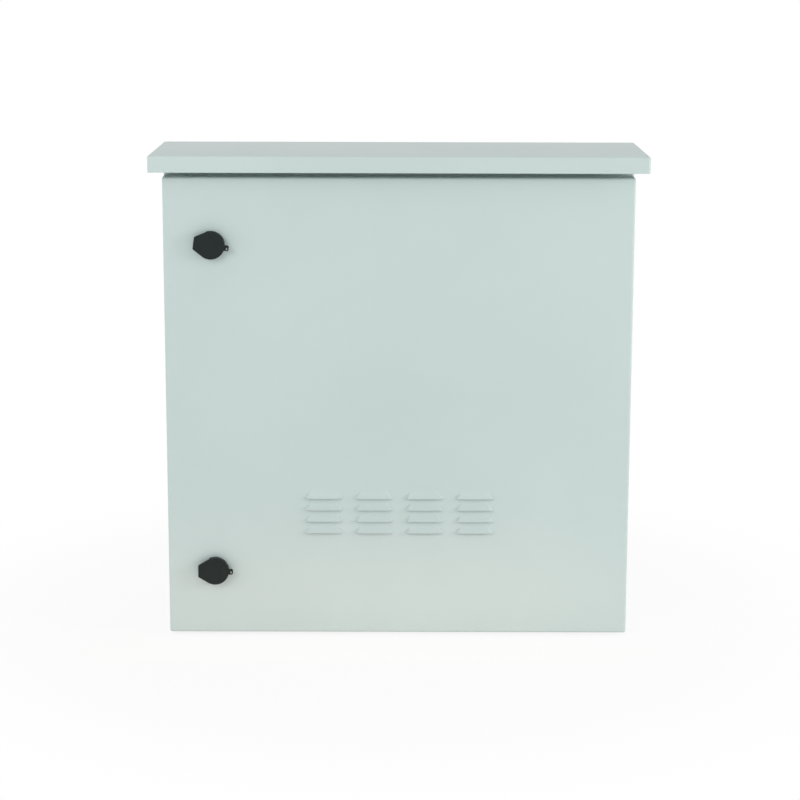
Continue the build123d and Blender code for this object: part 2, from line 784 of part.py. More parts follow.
def make_gland_screws():
    """Pan-head screws down through the gland plate into the floor."""
    head = disc(gland_screw_head_radius, gland_plate_top, gland_plate_top + gland_screw_head_height)
    head = chamfer(head.edges().group_by(Axis.Z)[-1], gland_screw_head_bevel)
    screw = head + disc(gland_screw_radius, 0, gland_plate_top)
    return [Pos(x, y, 0) * screw for x, y in gland_screw_places]


def make_cable_grommets():
    """Rubber membranes, turned about their axis: a groove on the plate's edge and a dome to cut open."""
    lip = grommet_hole_radius + grommet_lip
    low, top = gland_gasket_top - grommet_lip_height, gland_plate_top + grommet_lip_height
    dome = grommet_hole_radius * grommet_dome_radius_share
    tip = grommet_hole_radius * grommet_tip_radius_share
    peak = top + grommet_dome_height
    half_section = Polyline(
        (0, peak),
        (tip, peak),
        (dome, top),
        (lip, top),
        (lip, gland_plate_top),
        (grommet_hole_radius, gland_plate_top),
        (grommet_hole_radius, gland_gasket_top),
        (lip, gland_gasket_top),
        (lip, low),
        (dome - grommet_wall, low),
        (dome - grommet_wall, top - grommet_wall),
        (tip, peak - grommet_wall),
        (0, peak - grommet_wall),
        close=True,
    )
    grommet = revolve(Plane.XZ * make_face(half_section), Axis.Z)
    return [Pos(x, y, 0) * grommet for x, y in grommet_places]


def build():
    """Every piece of the cabinet by name."""
    rail = make_roof_rail()
    body_earth = facing((sheet - half_width, y_wall - earth_stud_setback, earth_stud_height), (1, 0, 0))
    door_earth = behind_door(half_width - door_earth_inset, earth_stud_height)
    earth_stud = disc(m6_radius, 0, earth_stud_length)
    pieces = {
        "body_wrap": make_body_wrap(),
        "floor_pan": make_floor_pan(),
        "top_pan": make_top_pan(),
        "roof_hood": make_roof_hood(),
        "roof_rail_left": rail.mirror(Plane.YZ),
        "roof_rail_right": rail,
        "roof_studs": make_roof_studs(),
        "roof_nuts": make_roof_nuts(),
        "mounting_plate": make_mounting_plate(),
        "plate_standoffs": make_plate_standoffs(),
        "plate_nuts": make_plate_nuts(),
        "gland_plate": make_gland_plate(),
        "gland_gasket": make_gland_gasket(),
        "gland_screws": make_gland_screws(),
        "cable_grommets": make_cable_grommets(),
        "body_earth_stud": body_earth * earth_stud,
        "body_earth_nut": body_earth * washered_nut(),
        "door_panel": make_door_panel(),
        "door_gasket": make_door_gasket(),
        "door_earth_stud": door_earth * earth_stud,
        "door_earth_nut": door_earth * washered_nut(),
        "filter_tray": make_filter_tray(),
        "filter_mat": make_filter_mat(),
        "filter_studs": make_filter_studs(),
        "filter_nuts": make_filter_nuts(),
    }
    for name, height in hinge_heights.items():
        pieces[f"{name}_hinge_bracket"] = make_hinge_bracket(height)
        pieces[f"{name}_hinge_leaf"] = make_hinge_leaf(height)
        pieces[f"{name}_hinge_pin"] = make_hinge_pin(height)
    for name, height in lock_heights.items():
        upright = on_door(x_lock, height)
        tilted = upright * Rot(0, 0, -lock_tilts_deg[name])
        pieces[f"{name}_lock_housing"] = tilted * make_lock_housing()
        pieces[f"{name}_lock_seal"] = tilted * make_lock_seal()
        pieces[f"{name}_lock_nut"] = tilted * make_lock_nut()
        pieces[f"{name}_lock_flap"] = tilted * make_lock_flap()
        pieces[f"{name}_lock_flap_pin"] = tilted * make_flap_pin()
        pieces[f"{name}_lock_driver"] = upright * make_lock_driver()
        pieces[f"{name}_lock_cam"] = upright * make_lock_cam()
        pieces[f"{name}_lock_cam_screw"] = upright * make_cam_screw()
    return pieces


def single_shape(piece):
    """A piece's solid, or its group of solids as one compound."""
    shapes = piece if isinstance(piece, list) else [piece]
    solids = [solid for shape in shapes for solid in shape.solids()]
    return solids[0] if len(solids) == 1 else Compound(children=solids)


def write_step_files():
    """One STEP file for each piece, in the folder parts."""
    os.makedirs("parts", exist_ok=True)
    for name, piece in build().items():
        export_step(single_shape(piece), f"parts/{name}.step")
    print("hinge axis", x_hinge, y_hinge, "frame lip inset", lip_inset)
    print("lock axis", x_lock, lock_heights, "cam reach", cam_reach)


write_step_files()
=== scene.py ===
# %% [markdown]
# # A painted sheet-steel utility cabinet
# The cabinet is a weatherproof steel box with a sloping rain roof, a hinged door with pressed louvres
# and two quarter-turn locks under black dust flaps. Its construction arrives ready made: every sheet,
# pin and nut at its true size, grouped into the bodies that move. We never shift that frame. We dress
# it: folded sheets get smooth bends, fasteners get threads, and every surface gets a finish.

# %% Load the frame
import json
import math

import bmesh
import bpy
import numpy as np
from mathutils import Matrix, Vector, noise


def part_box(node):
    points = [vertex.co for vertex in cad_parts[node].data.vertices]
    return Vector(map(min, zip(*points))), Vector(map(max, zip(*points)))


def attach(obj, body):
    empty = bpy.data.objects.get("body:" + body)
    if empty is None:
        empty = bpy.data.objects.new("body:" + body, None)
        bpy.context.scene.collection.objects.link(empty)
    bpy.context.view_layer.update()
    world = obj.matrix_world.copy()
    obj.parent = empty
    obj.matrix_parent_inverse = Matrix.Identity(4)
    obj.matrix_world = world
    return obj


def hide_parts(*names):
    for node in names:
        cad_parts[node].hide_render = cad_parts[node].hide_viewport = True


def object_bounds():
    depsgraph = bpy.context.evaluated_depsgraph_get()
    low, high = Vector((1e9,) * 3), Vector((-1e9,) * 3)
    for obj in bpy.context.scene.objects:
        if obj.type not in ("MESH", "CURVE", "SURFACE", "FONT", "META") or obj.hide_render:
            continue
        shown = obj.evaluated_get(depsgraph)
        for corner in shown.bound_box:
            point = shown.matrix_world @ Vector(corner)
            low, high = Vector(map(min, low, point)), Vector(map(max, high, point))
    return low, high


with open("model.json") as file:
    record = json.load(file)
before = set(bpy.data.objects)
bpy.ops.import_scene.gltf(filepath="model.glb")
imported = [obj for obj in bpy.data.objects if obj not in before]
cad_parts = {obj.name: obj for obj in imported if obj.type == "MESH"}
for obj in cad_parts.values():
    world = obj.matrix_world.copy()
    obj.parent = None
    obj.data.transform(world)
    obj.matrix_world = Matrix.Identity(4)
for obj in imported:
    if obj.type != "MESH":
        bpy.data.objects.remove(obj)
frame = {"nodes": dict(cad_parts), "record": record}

cad_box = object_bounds()
mm = 0.001
scene = bpy.context.scene

# %% [markdown]
# ## Camera
# A picture's perspective comes from where the camera stands, and its framing from the lens. The place
# and the three turns below were worked out from the corners of the door and the roof, so the picture
# lines up with the real view. The camera stands about three metres off and a little above the roof.

# %% Camera
picture_width_px = 800
focal_length_px = 2439.55
sensor_width_mm = 36.0
camera_place = Vector((-0.15, -3159.2, 1006.0)) * mm
camera_pitch, camera_yaw, camera_roll = 0.2205, 0.0007, -0.0027

forward = Vector((
    math.sin(camera_yaw) * math.cos(camera_pitch),
    math.cos(camera_yaw) * math.cos(camera_pitch),
    -math.sin(camera_pitch),
))
level = Vector((math.cos(camera_yaw), -math.sin(camera_yaw), 0))
lens_down = forward.cross(level)
rightward = level * math.cos(camera_roll) + lens_down * math.sin(camera_roll)
upward = level * math.sin(camera_roll) - lens_down * math.cos(camera_roll)

camera_data = bpy.data.cameras.new("camera")
camera_data.sensor_width = sensor_width_mm
camera_data.lens = focal_length_px / picture_width_px * sensor_width_mm
camera = bpy.data.objects.new("camera", camera_data)
camera_turn = Matrix((rightward, upward, -forward)).transposed().to_4x4()
camera.matrix_world = Matrix.Translation(camera_place) @ camera_turn
scene.collection.objects.link(camera)
scene.camera = camera
print("lens", round(camera_data.lens, 1), "mm")

# %% [markdown]
# ## Helpers
# Materials, the world and Geometry Nodes are all trees of nodes. One small helper adds a node and sets
# its inputs by name, to a value or to another node's socket, so that each tree below reads as a short
# list. A second one links sockets that share a name. Two more make a mesh and put it in the scene.


# %% Helpers for nodes, meshes and objects
def add(tree, kind, settings=None, **inputs):
    """One node; settings are its properties, and the rest its inputs by name, as values or sockets."""
    node = tree.nodes.new(kind)
    for name, value in (settings or {}).items():
        setattr(node, name, value)
    for name, value in inputs.items():
        entry = node.inputs[name.replace("_", " ")]
        if isinstance(value, bpy.types.NodeSocket):
            tree.links.new(value, entry)
        else:
            entry.default_value = value
    return node


def join(tree, node, socket, other, entry):
    """Link from a node's output to another node's input."""
    tree.links.new(node.outputs[socket], other.inputs[entry])


def seen(tree):
    """1 for rays that the camera sees, straight or by way of a gloss or a pane, and otherwise 0."""
    light_path = add(tree, "ShaderNodeLightPath")
    result = light_path.outputs["Is Camera Ray"]
    for name in ("Is Glossy Ray", "Is Transmission Ray"):
        larger = add(tree, "ShaderNodeMath", {"operation": "MAXIMUM"})
        tree.links.new(result, larger.inputs[0])
        tree.links.new(light_path.outputs[name], larger.inputs[1])
        result = larger.outputs[0]
    return result


def new_mesh(name, points, faces=()):
    """Mesh from points and faces."""
    mesh = bpy.data.meshes.new(name)
    mesh.from_pydata(points, [], faces)
    return mesh


def placed(name, data):
    """Object in the scene, with a mesh or a lamp as its data."""
    piece = bpy.data.objects.new(name, data)
    scene.collection.objects.link(piece)
    return piece


print("helpers ready")

# %% [markdown]
# ## Light, background and floor
# The cabinet is shown in even studio light on white, as in a tent of pale cloth. The dome lights it
# from all round, a lamp high on the left lifts the faces of the louvres, one from each side catches
# their slanting ends and throws the soft shadows of the lock flaps, and a faint warm strip stands for
# what the ground sends back on to the foot of the door. A low lamp behind keeps the back wall as clear
# as the front; it stays under the slope of the roof, which would catch its glare. What the camera
# itself sees of the dome is plain white at strength 1, which costs the object no extra light.

# %% World and lamps
dome_strength = 0.64
white = (1.0, 1.0, 1.0, 1.0)
world = bpy.data.worlds.new("studio")
scene.world = world
world.use_nodes = True
sky = world.node_tree
sky.nodes.clear()
dome = add(sky, "ShaderNodeBackground", Color=white, Strength=dome_strength)
backdrop = add(sky, "ShaderNodeBackground", Color=white, Strength=1.0)
blend = add(sky, "ShaderNodeMixShader")
sky.links.new(seen(sky), blend.inputs[0])
join(sky, dome, 0, blend, 1)
join(sky, backdrop, 0, blend, 2)
join(sky, blend, 0, add(sky, "ShaderNodeOutputWorld"), 0)

middle = (cad_box[0] + cad_box[1]) / 2


def softbox(name, place, width, watts, aim=middle, height=None, tint=(1.0, 1.0, 1.0)):
    """Lamp that faces the middle of the cabinet, or another place; square unless a height is given."""
    data = bpy.data.lights.new(name, "AREA")
    data.shape = "RECTANGLE"
    data.size, data.size_y = width, height or width
    data.energy = watts
    data.color = tint
    place = Vector(place)
    facing = (Vector(aim) - place).to_track_quat("-Z", "Y").to_matrix().to_4x4()
    placed(name, data).matrix_world = Matrix.Translation(place) @ facing
    print(name, watts, "W")


softbox("high_lamp", (-1.2, -1.7, 1.35), 0.9, 9.5)
softbox("right_lamp", (2.2, -0.9, 0.8), 0.8, 19.5)
softbox("left_lamp", (-2.3, -0.85, 0.5), 0.8, 4.5)
softbox("foot_lamp", (-0.05, -0.205, 0.04), 0.64, 0.062, (-0.05, 0.0, 0.04), 0.03, (1.0, 0.55, 0.41))
softbox("back_lamp", (0.5, 1.5, 0.18), 1.0, 8.0, middle, 0.3)

scene.view_settings.view_transform = "Standard"

# %% [markdown]
# The floor is a large matt sheet. To the camera it also glows, more and more with the distance from
# the cabinet, so that it keeps the soft shadow close by and fades into the white background further off.

# %% Floor
floor_reach = 30.0
floor_drop = 0.3 * mm
glow_near, glow_far = 0.38, 0.75
near_glow_share, far_glow_share = 0.87, 1.0
floor_tone = (0.90, 0.89, 0.88, 1.0)
floor_signs = [(-1, -1), (1, -1), (1, 1), (-1, 1)]
floor_corners = [(x * floor_reach, y * floor_reach, -floor_drop) for x, y in floor_signs]
floor = placed("floor", new_mesh("floor", floor_corners, [(0, 1, 2, 3)]))

floor_finish = bpy.data.materials.new("pale_floor")
floor_finish.use_nodes = True
ground = floor_finish.node_tree
ground.nodes.clear()
matt = add(ground, "ShaderNodeBsdfDiffuse", Color=floor_tone)
glow = add(ground, "ShaderNodeEmission", Color=white, Strength=1.0)
distance = add(ground, "ShaderNodeVectorMath", {"operation": "LENGTH"})
join(ground, add(ground, "ShaderNodeTexCoord"), "Object", distance, 0)
fade = add(ground, "ShaderNodeMapRange", {"interpolation_type": "SMOOTHSTEP"},
           Value=distance.outputs["Value"], From_Min=glow_near, From_Max=glow_far,
           To_Min=near_glow_share, To_Max=far_glow_share)
share = add(ground, "ShaderNodeMath", {"operation": "MULTIPLY"})
ground.links.new(seen(ground), share.inputs[0])
join(ground, fade, 0, share, 1)
mixed = add(ground, "ShaderNodeMixShader")
join(ground, share, 0, mixed, 0)
join(ground, matt, 0, mixed, 1)
join(ground, glow, 0, mixed, 2)
join(ground, mixed, 0, add(ground, "ShaderNodeOutputMaterial"), 0)
floor.data.materials.append(floor_finish)
print("floor", 2 * floor_reach, "m wide")

# %% [markdown]
# ## Effects that several finishes share
# No real surface is one flat colour. Paint has the fine ripple of sprayed powder, zinc has cloudy
# crystals, moulded plastic has an etched grain. All of these are noise at two sizes: a fine grain that
# moves the light, and a slow cloud that shifts colour and gloss. One node group makes both, and each
# finish sets its own sizes. A second group tints the faces that look up, as settled dust and partly as
# painted shading: darker on the coat and the fibre, lighter on the black plastic.

# %% Shared shader groups
# Where the dust and the painted top shading start and where they are full, by how far a face looks up.
top_shading_starts, top_shading_full = 0.35, 0.95
mask_low, mask_high = 0.3, 0.7


def new_group(name, inputs, outputs):
    """Shader group with named sockets; inputs carry a starting value."""
    group = bpy.data.node_groups.new(name, "ShaderNodeTree")
    for label, value in inputs.items():
        socket = group.interface.new_socket(label, in_out="INPUT", socket_type="NodeSocketFloat")
        socket.default_value = value
    for label in outputs:
        group.interface.new_socket(label, in_out="OUTPUT", socket_type="NodeSocketFloat")
    return group, add(group, "NodeGroupInput"), add(group, "NodeGroupOutput")


def object_place(tree):
    """Place on the object, in metres."""
    return add(tree, "ShaderNodeTexCoord").outputs["Object"]


def make_grain_group():
    """Fine grain and slow cloud from noise; sizes are given as waves per metre."""
    group, entry, out = new_group(
        "grain_and_cloud", {"Grain per metre": 900.0, "Cloud per metre": 6.0}, ("Grain", "Cloud")
    )
    place = object_place(group)
    for label, source, detail in (("Grain", "Grain per metre", 3.0), ("Cloud", "Cloud per metre", 4.0)):
        waves = add(group, "ShaderNodeTexNoise", Vector=place, Scale=entry.outputs[source],
                    Detail=detail, Roughness=0.55)
        join(group, waves, "Fac", out, label)
    return group


def make_dust_and_top_shading_group():
    """Mask of settled dust and painted top shading: strongest on faces that look up, and broken up by noise.
    """
    group, entry, out = new_group("dust_and_top_shading", {"Amount": 0.3, "Patch per metre": 14.0}, ("Dust",))
    # The tint follows the way a face looks: painted top shading as well as dust.
    facing = add(group, "ShaderNodeSeparateXYZ")
    join(group, add(group, "ShaderNodeNewGeometry"), "Normal", facing, 0)
    top_shading_share = add(group, "ShaderNodeMapRange", {"interpolation_type": "SMOOTHSTEP"},
                      Value=facing.outputs["Z"], From_Min=top_shading_starts, From_Max=top_shading_full)
    patches = add(group, "ShaderNodeTexNoise", Vector=object_place(group),
                  Scale=entry.outputs["Patch per metre"], Detail=6.0, Roughness=0.6)
    product = add(group, "ShaderNodeMath", {"operation": "MULTIPLY"})
    join(group, top_shading_share, 0, product, 0)
    join(group, patches, "Fac", product, 1)
    scaled = add(group, "ShaderNodeMath", {"operation": "MULTIPLY"})
    join(group, product, 0, scaled, 0)
    join(group, entry, "Amount", scaled, 1)
    join(group, scaled, 0, out, "Dust")
    return group


grain_group = make_grain_group()
dust_and_shading_group = make_dust_and_top_shading_group()
print("groups:", grain_group.name, dust_and_shading_group.name)

# %% [markdown]
# Every finish below needs the same few moves: start a material, place a shared group in it, mix two
# tones, spread a value, add relief. The nodes could be repeated in each material, but small helpers
# keep a finish down to its own numbers.


# %% Material helpers
def new_finish(name):
    """Empty material with a Principled shader on its output."""
    material = bpy.data.materials.new(name)
    material.use_nodes = True
    tree = material.node_tree
    tree.nodes.clear()
    shader = add(tree, "ShaderNodeBsdfPrincipled")
    join(tree, shader, 0, add(tree, "ShaderNodeOutputMaterial"), 0)
    return material, tree, shader


def use_group(tree, group, values):
    """A shared group in a material, with this material's own values."""
    node = add(tree, "ShaderNodeGroup", {"node_tree": group})
    for name, value in values.items():
        node.inputs[name].default_value = value
    return node


def two_tones(tree, mask, low, high):
    """Colour between two tones, chosen by a mask."""
    ramp = add(tree, "ShaderNodeValToRGB", Fac=mask)
    for stop, place, tone in zip(ramp.color_ramp.elements, (mask_low, mask_high), (low, high)):
        stop.position = place
        stop.color = (*tone, 1.0)
    return ramp.outputs[0]


def spread(tree, mask, low, high):
    """Value between two limits, chosen by a mask."""
    span = add(tree, "ShaderNodeMapRange", Value=mask, From_Min=mask_low, From_Max=mask_high,
               To_Min=low, To_Max=high)
    return span.outputs[0]


def bump(tree, shader, height, depth, edge_round=0.0):
    """Fine relief of a given depth; an edge rounding also softens the light on sharp edges."""
    relief = add(tree, "ShaderNodeBump", Strength=1.0, Distance=depth, Height=height)
    if edge_round:
        join(tree, add(tree, "ShaderNodeBevel", {"samples": 4}, Radius=edge_round), 0, relief, "Normal")
    join(tree, relief, 0, shader, "Normal")


def dusted_and_shaded(tree, color, amount, dust_and_shading_color):
    """Colour with settled dust and painted top shading over it."""
    dust_and_shading = use_group(tree, dust_and_shading_group, {"Amount": amount}).outputs["Dust"]
    mix = add(tree, "ShaderNodeMix", {"data_type": "RGBA"}, Factor=dust_and_shading, A=color, B=(*dust_and_shading_color, 1.0))
    return mix.outputs["Result"]


def mottled(name, grain_size, cloud_size, tones, roughness, dust_and_shading=None):
    """Finish whose colour and gloss drift with the cloud; its grain comes back too, for the relief."""
    material, tree, shader = new_finish(name)
    grain = use_group(tree, grain_group, {"Grain per metre": grain_size, "Cloud per metre": cloud_size})
    cloud = grain.outputs["Cloud"]
    color = two_tones(tree, cloud, *tones)
    # Settled dust and painted top shading, where a finish asks for them.
    if dust_and_shading:
        color = dusted_and_shaded(tree, color, *dust_and_shading)
    tree.links.new(color, shader.inputs["Base Color"])
    tree.links.new(spread(tree, cloud, *roughness), shader.inputs["Roughness"])
    return material, tree, shader, grain.outputs["Grain"]


print("material helpers ready")

# %% [markdown]
# ## Powder coat
# The sheets are coated with pale grey-green powder that is baked into a satin skin. Up close it shows
# a faint ripple, and over a whole door its gloss drifts a little. We could paint that by hand, but
# noise does it evenly on every sheet, at the true size, since the coordinates are in metres.


# %% Powder coat
def make_powder_coat():
    """Satin powder coat in pale grey-green."""
    tones = (0.548, 0.654, 0.638), (0.574, 0.681, 0.664)
    # Faces that look up turn darker and greyer: settled dust, and partly a painted shade, as on the roof top.
    dust_and_shading = 0.16, (0.52, 0.54, 0.52)
    material, tree, shader, grain = mottled("powder_coat", 620.0, 4.5, tones, (0.40, 0.50), dust_and_shading)
    bump(tree, shader, grain, 0.035 * mm, 0.5 * mm)
    return material


powder_coat = make_powder_coat()
print(powder_coat.name)

# %% [markdown]
# ## Zinc, plastic, rubber and fibre
# The hidden hardware is zinc-plated steel: grey metal with a cloudy blue cast and fine rolling lines.
# The lock flaps are black moulded plastic with an etched grain. The seal is closed-cell foam with a
# skin full of tiny pores, the grommets are plain rubber, and the filter is a mat of pale fibres.


# %% Hardware and soft finishes
def stretched_noise(tree, stretch, scale):
    """Noise drawn out along some axes, for rolling lines and fibres."""
    place = add(tree, "ShaderNodeMapping", Vector=object_place(tree), Scale=stretch).outputs[0]
    lines = add(tree, "ShaderNodeTexNoise", Vector=place, Scale=scale, Detail=5.0, Roughness=0.65)
    return lines.outputs["Fac"]


def make_zinc():
    """Zinc-plated steel with a cloudy cast and fine rolling lines."""
    tones = (0.555, 0.570, 0.585), (0.625, 0.630, 0.625)
    material, tree, shader, _ = mottled("zinc_plate", 1500.0, 75.0, tones, (0.44, 0.35))
    shader.inputs["Metallic"].default_value = 1.0
    bump(tree, shader, stretched_noise(tree, (1.0, 1.0, 24.0), 160.0), 0.015 * mm, 0.3 * mm)
    return material


def make_black_plastic():
    """Moulded black plastic with an etched grain, dulled by handling and weather; faces that look up get dust
    and painted light.
    """
    tones = (0.0068, 0.0130, 0.0122), (0.0100, 0.0170, 0.0160)
    # Faces that look up turn lighter: dust, and partly painted light.
    dust_and_shading = 0.06, (0.20, 0.21, 0.20)
    material, tree, shader, grain = mottled("black_moulding", 2600.0, 60.0, tones, (0.44, 0.56), dust_and_shading)
    shader.inputs["Specular IOR Level"].default_value = 0.22
    bump(tree, shader, grain, 0.03 * mm, 0.25 * mm)
    return material


def make_rubber():
    """Matt black rubber with a faint bloom."""
    tones = (0.018, 0.018, 0.019), (0.034, 0.034, 0.035)
    material, tree, shader, grain = mottled("black_rubber", 1800.0, 55.0, tones, (0.62, 0.78))
    bump(tree, shader, grain, 0.04 * mm)
    return material


def make_foam():
    """Closed-cell sealing foam, whose skin is full of tiny pores."""
    tones = (0.030, 0.031, 0.033), (0.052, 0.053, 0.055)
    material, tree, shader, _ = mottled("sealing_foam", 1400.0, 30.0, tones, (0.82, 0.95))
    pores = add(tree, "ShaderNodeTexVoronoi", Vector=object_place(tree), Scale=1100.0)
    bump(tree, shader, pores.outputs["Distance"], 0.25 * mm)
    return material


def make_fibre():
    """Pale filter fibres, matted, with dust and painted shade on the faces that look up."""
    material, tree, shader = new_finish("filter_fibre")
    grain = use_group(tree, grain_group, {"Grain per metre": 1100.0, "Cloud per metre": 22.0})
    strands = stretched_noise(tree, (1.0, 2.5, 5.0), 260.0)
    color = two_tones(tree, strands, (0.46, 0.46, 0.43), (0.74, 0.74, 0.70))
    # Faces that look up turn darker: dust, and partly painted shade.
    tree.links.new(dusted_and_shaded(tree, color, 0.2, (0.30, 0.29, 0.26)), shader.inputs["Base Color"])
    tree.links.new(spread(tree, grain.outputs["Cloud"], 0.88, 1.0), shader.inputs["Roughness"])
    bump(tree, shader, strands, 0.6 * mm)
    return material


zinc_plate = make_zinc()
black_moulding = make_black_plastic()
black_rubber = make_rubber()
sealing_foam = make_foam()
filter_fibre = make_fibre()
finishes = {
    "paint": powder_coat,
    "zinc": zinc_plate,
    "black_plastic": black_moulding,
    "rubber": black_rubber,
    "filter_fibre": filter_fibre,
}
print(len(finishes), "finishes by slot")

# %% [markdown]
# ## The frame's own pieces
# Most pieces keep their ready-made shape, but their meshes are loose triangles that shade as facets.
# We leave those meshes alone, copy each one, merge the copy's doubled points and shade it smooth up
# to a crease angle. Every copy stands for its node, rides on the same body and keeps its slot.

# %% Copies of the frame's pieces
crease = math.radians(32)
weld_gap = 0.002 * mm
body_nodes = frame["record"]["behaviour"]["bodies"]
node_slot = {part["node"]: part["material_slot"] for part in frame["record"]["subparts"]}
node_body = {node: body for body, nodes in body_nodes.items() for node in nodes}


def merged(mesh, outwards=False):
    """The mesh with doubled points merged, shaded smooth; a new mesh's faces are turned outwards too."""
    work = bmesh.new()
    work.from_mesh(mesh)
    bmesh.ops.remove_doubles(work, verts=work.verts, dist=weld_gap)
    bmesh.ops.dissolve_degenerate(work, edges=work.edges, dist=weld_gap)
    loose = [edge for edge in work.edges if not edge.link_faces]
    bmesh.ops.delete(work, geom=loose, context="EDGES")
    if outwards:
        bmesh.ops.recalc_face_normals(work, faces=work.faces)
    work.to_mesh(mesh)
    work.free()
    return shaded(mesh)


def shaded(mesh):
    """The mesh, smooth up to the crease angle."""
    mesh.shade_smooth()
    mesh.set_sharp_from_angle(angle=crease)
    return mesh


def settle(name, mesh, node):
    """A finished piece at the origin, which stands for a node of the frame."""
    piece = placed(name, mesh)
    slot = node_slot[node]
    if not mesh.materials:
        mesh.materials.append(finishes[slot])
    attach(piece, node_body[node])
    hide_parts(node)
    return piece


def plain_copy(node):
    """Copy of a node's mesh without its old normals and materials."""
    source = frame["nodes"][node].data
    corners = [vertex.co.copy() for vertex in source.vertices]
    faces = [tuple(face.vertices) for face in source.polygons]
    return merged(new_mesh(node + "_sheet", corners, faces))


remade = {
    "door_panel", "door_gasket", "filter_mat", "cable_grommets", "gland_screws",
    "roof_studs", "roof_nuts", "plate_standoffs", "plate_nuts", "filter_studs", "filter_nuts",
    "body_earth_stud", "body_earth_nut", "door_earth_stud", "door_earth_nut",
    "lower_lock_cam_screw", "upper_lock_cam_screw",
}
for node in sorted(set(frame["nodes"]) - remade):
    settle("shown_" + node, plain_copy(node), node)
print(len(frame["nodes"]) - len(remade), "pieces copied")

# %% [markdown]
# ## The door and its pressed louvres
# The door is one sheet, folded back on all four sides, with sixteen louvres pressed out of it. Each
# louvre is a cut along the bottom and a rounded hood above it, so that air passes and rain does not.
# One louvre could be modelled and copied by hand, but the rule is simple: Geometry Nodes set one
# pressed patch on every point of a grid and weld it into the hole that the sheet leaves for it.

# %% Door sizes
door_low, door_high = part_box("door_panel")
sheet = 1.5 * mm
bend = 3.0 * mm
door_depth = 22.0 * mm
skin_y = door_high.y - door_depth
louvre_columns, louvre_rows = 4, 4
column_pitch, row_pitch = 65.5 * mm, 15.4 * mm
louvre_middle_x = 0.9 * mm
lowest_slit_z = door_low.z + 136.8 * mm
louvre_length, louvre_lip, louvre_top = 50.0 * mm, 42.4 * mm, 33.0 * mm
louvre_height, louvre_rise = 9.0 * mm, 5.0 * mm
flare_share = 0.36
press_round = 0.5 * mm
fold_round = 0.06
end_lean, end_run = (louvre_length - louvre_top) / 2 / louvre_height, (louvre_length - louvre_lip) / 2
least_end_share = 0.15
cell_half, cell_below, seam_gap = 27.0 * mm, 3.2 * mm, 0.01 * mm
print("door skin at", round(skin_y / mm, 1), "mm")


# %% One pressed louvre
def face_share(v):
    """Share of the full rise on the flared face, so high above the slit; below zero past its top."""
    climb = v / louvre_height
    bow = 2 - 4 * flare_share
    if climb > 1:
        return (bow - 1) * (climb - 1)
    return 1 - (1 + bow) * climb + bow * climb**2


def end_foot(v):
    """How far from the middle the slanting end meets the flat, so high above the slit."""
    return louvre_length / 2 - end_lean * min(max(v, 0.0), louvre_height)


def hood_rise(u, v):
    """How far the hood stands out, u along the slit from its middle and v above it."""
    face = face_share(v)
    end_share = (louvre_length / 2 - end_lean * v - abs(u)) / end_run
    rise = louvre_rise * (face + end_share - math.hypot(face - end_share, fold_round)) / 2
    if rise > press_round:
        return rise
    return max(0.0, rise + press_round) ** 2 / (4 * press_round)


def patch_u(line, v):
    """Where one of the patch's upright lines runs at a height: along the fold and foot of the end."""
    foot = end_foot(v)
    fold = foot - end_run * max(face_share(v), least_end_share)
    straight_places = (0, louvre_lip / 2, louvre_length / 2, cell_half)
    slanted = np.interp(abs(line), straight_places, (0, fold, foot, cell_half))
    back = max(0.0, (v - louvre_height) / (row_pitch - cell_below - louvre_height))
    return math.copysign(slanted + (abs(line) - slanted) * back, line)


end_lines = (0, 5, 10, 14, 17, 19, 20.2, 20.8, 21.2, 21.6, 22.2, 23.1, 24, 24.6, 25, 25.4, 25.9, 27)
patch_us = [-u * mm for u in reversed(end_lines[1:])] + [u * mm for u in end_lines]
patch_below = [-cell_below, -cell_below / 2, 0.0]
patch_above = [v * mm for v in (0, 0.5, 1.2, 2.1, 3, 4, 5, 6, 7, 7.8, 8.5, 9, 9.5, 10.3)]
patch_above.append(row_pitch - cell_below)


def grid_faces(columns, rows, start=0):
    """Quads between the points of a grid that runs along its rows first."""
    return [
        (start + r * columns + c, start + r * columns + c + 1,
         start + (r + 1) * columns + c + 1, start + (r + 1) * columns + c)
        for r in range(rows - 1)
        for c in range(columns - 1)
    ]


def make_louvre_patch():
    """Patch of sheet with one slit: the flat below it, and the hood above it."""
    flat = [(u, 0.0, v) for v in patch_below for u in patch_us]
    slanted = [(patch_u(line, v), v) for v in patch_above for line in patch_us]
    hood = [(u, -hood_rise(u, v), v) for u, v in slanted]
    columns = len(patch_us)
    faces = grid_faces(columns, len(patch_below))
    faces += grid_faces(columns, len(patch_above), len(flat))
    return placed("louvre_patch", new_mesh("louvre_patch", flat + hood, faces))


louvre_patch = make_louvre_patch()
print("louvre patch:", len(louvre_patch.data.polygons), "faces")

# %% [markdown]
# The sheet itself is a grid of lines. On the flat the lines pass through the edges of every louvre
# patch, so that the points meet. Past the edge of the flat, a line's distance is wrapped round the
# bend and then straight back, and where two bends meet, the corner is rounded like a ground weld.

# %% Folded door sheet
bend_turns = 6
wall_shares = (0.35, 0.7, 1.0)
same_place_digits = 7
quarter_bend = bend * math.pi / 2
past_edge = [quarter_bend * (i + 1) / bend_turns for i in range(bend_turns)]
past_edge += [quarter_bend + (door_depth - bend) * share for share in wall_shares]


def folded(distance):
    """How far out and how far back a point lies, so far along the sheet past the start of its bend."""
    angle = min(distance / bend, math.pi / 2)
    straight = max(0.0, distance - quarter_bend)
    return bend * math.sin(angle), bend * (1 - math.cos(angle)) + straight


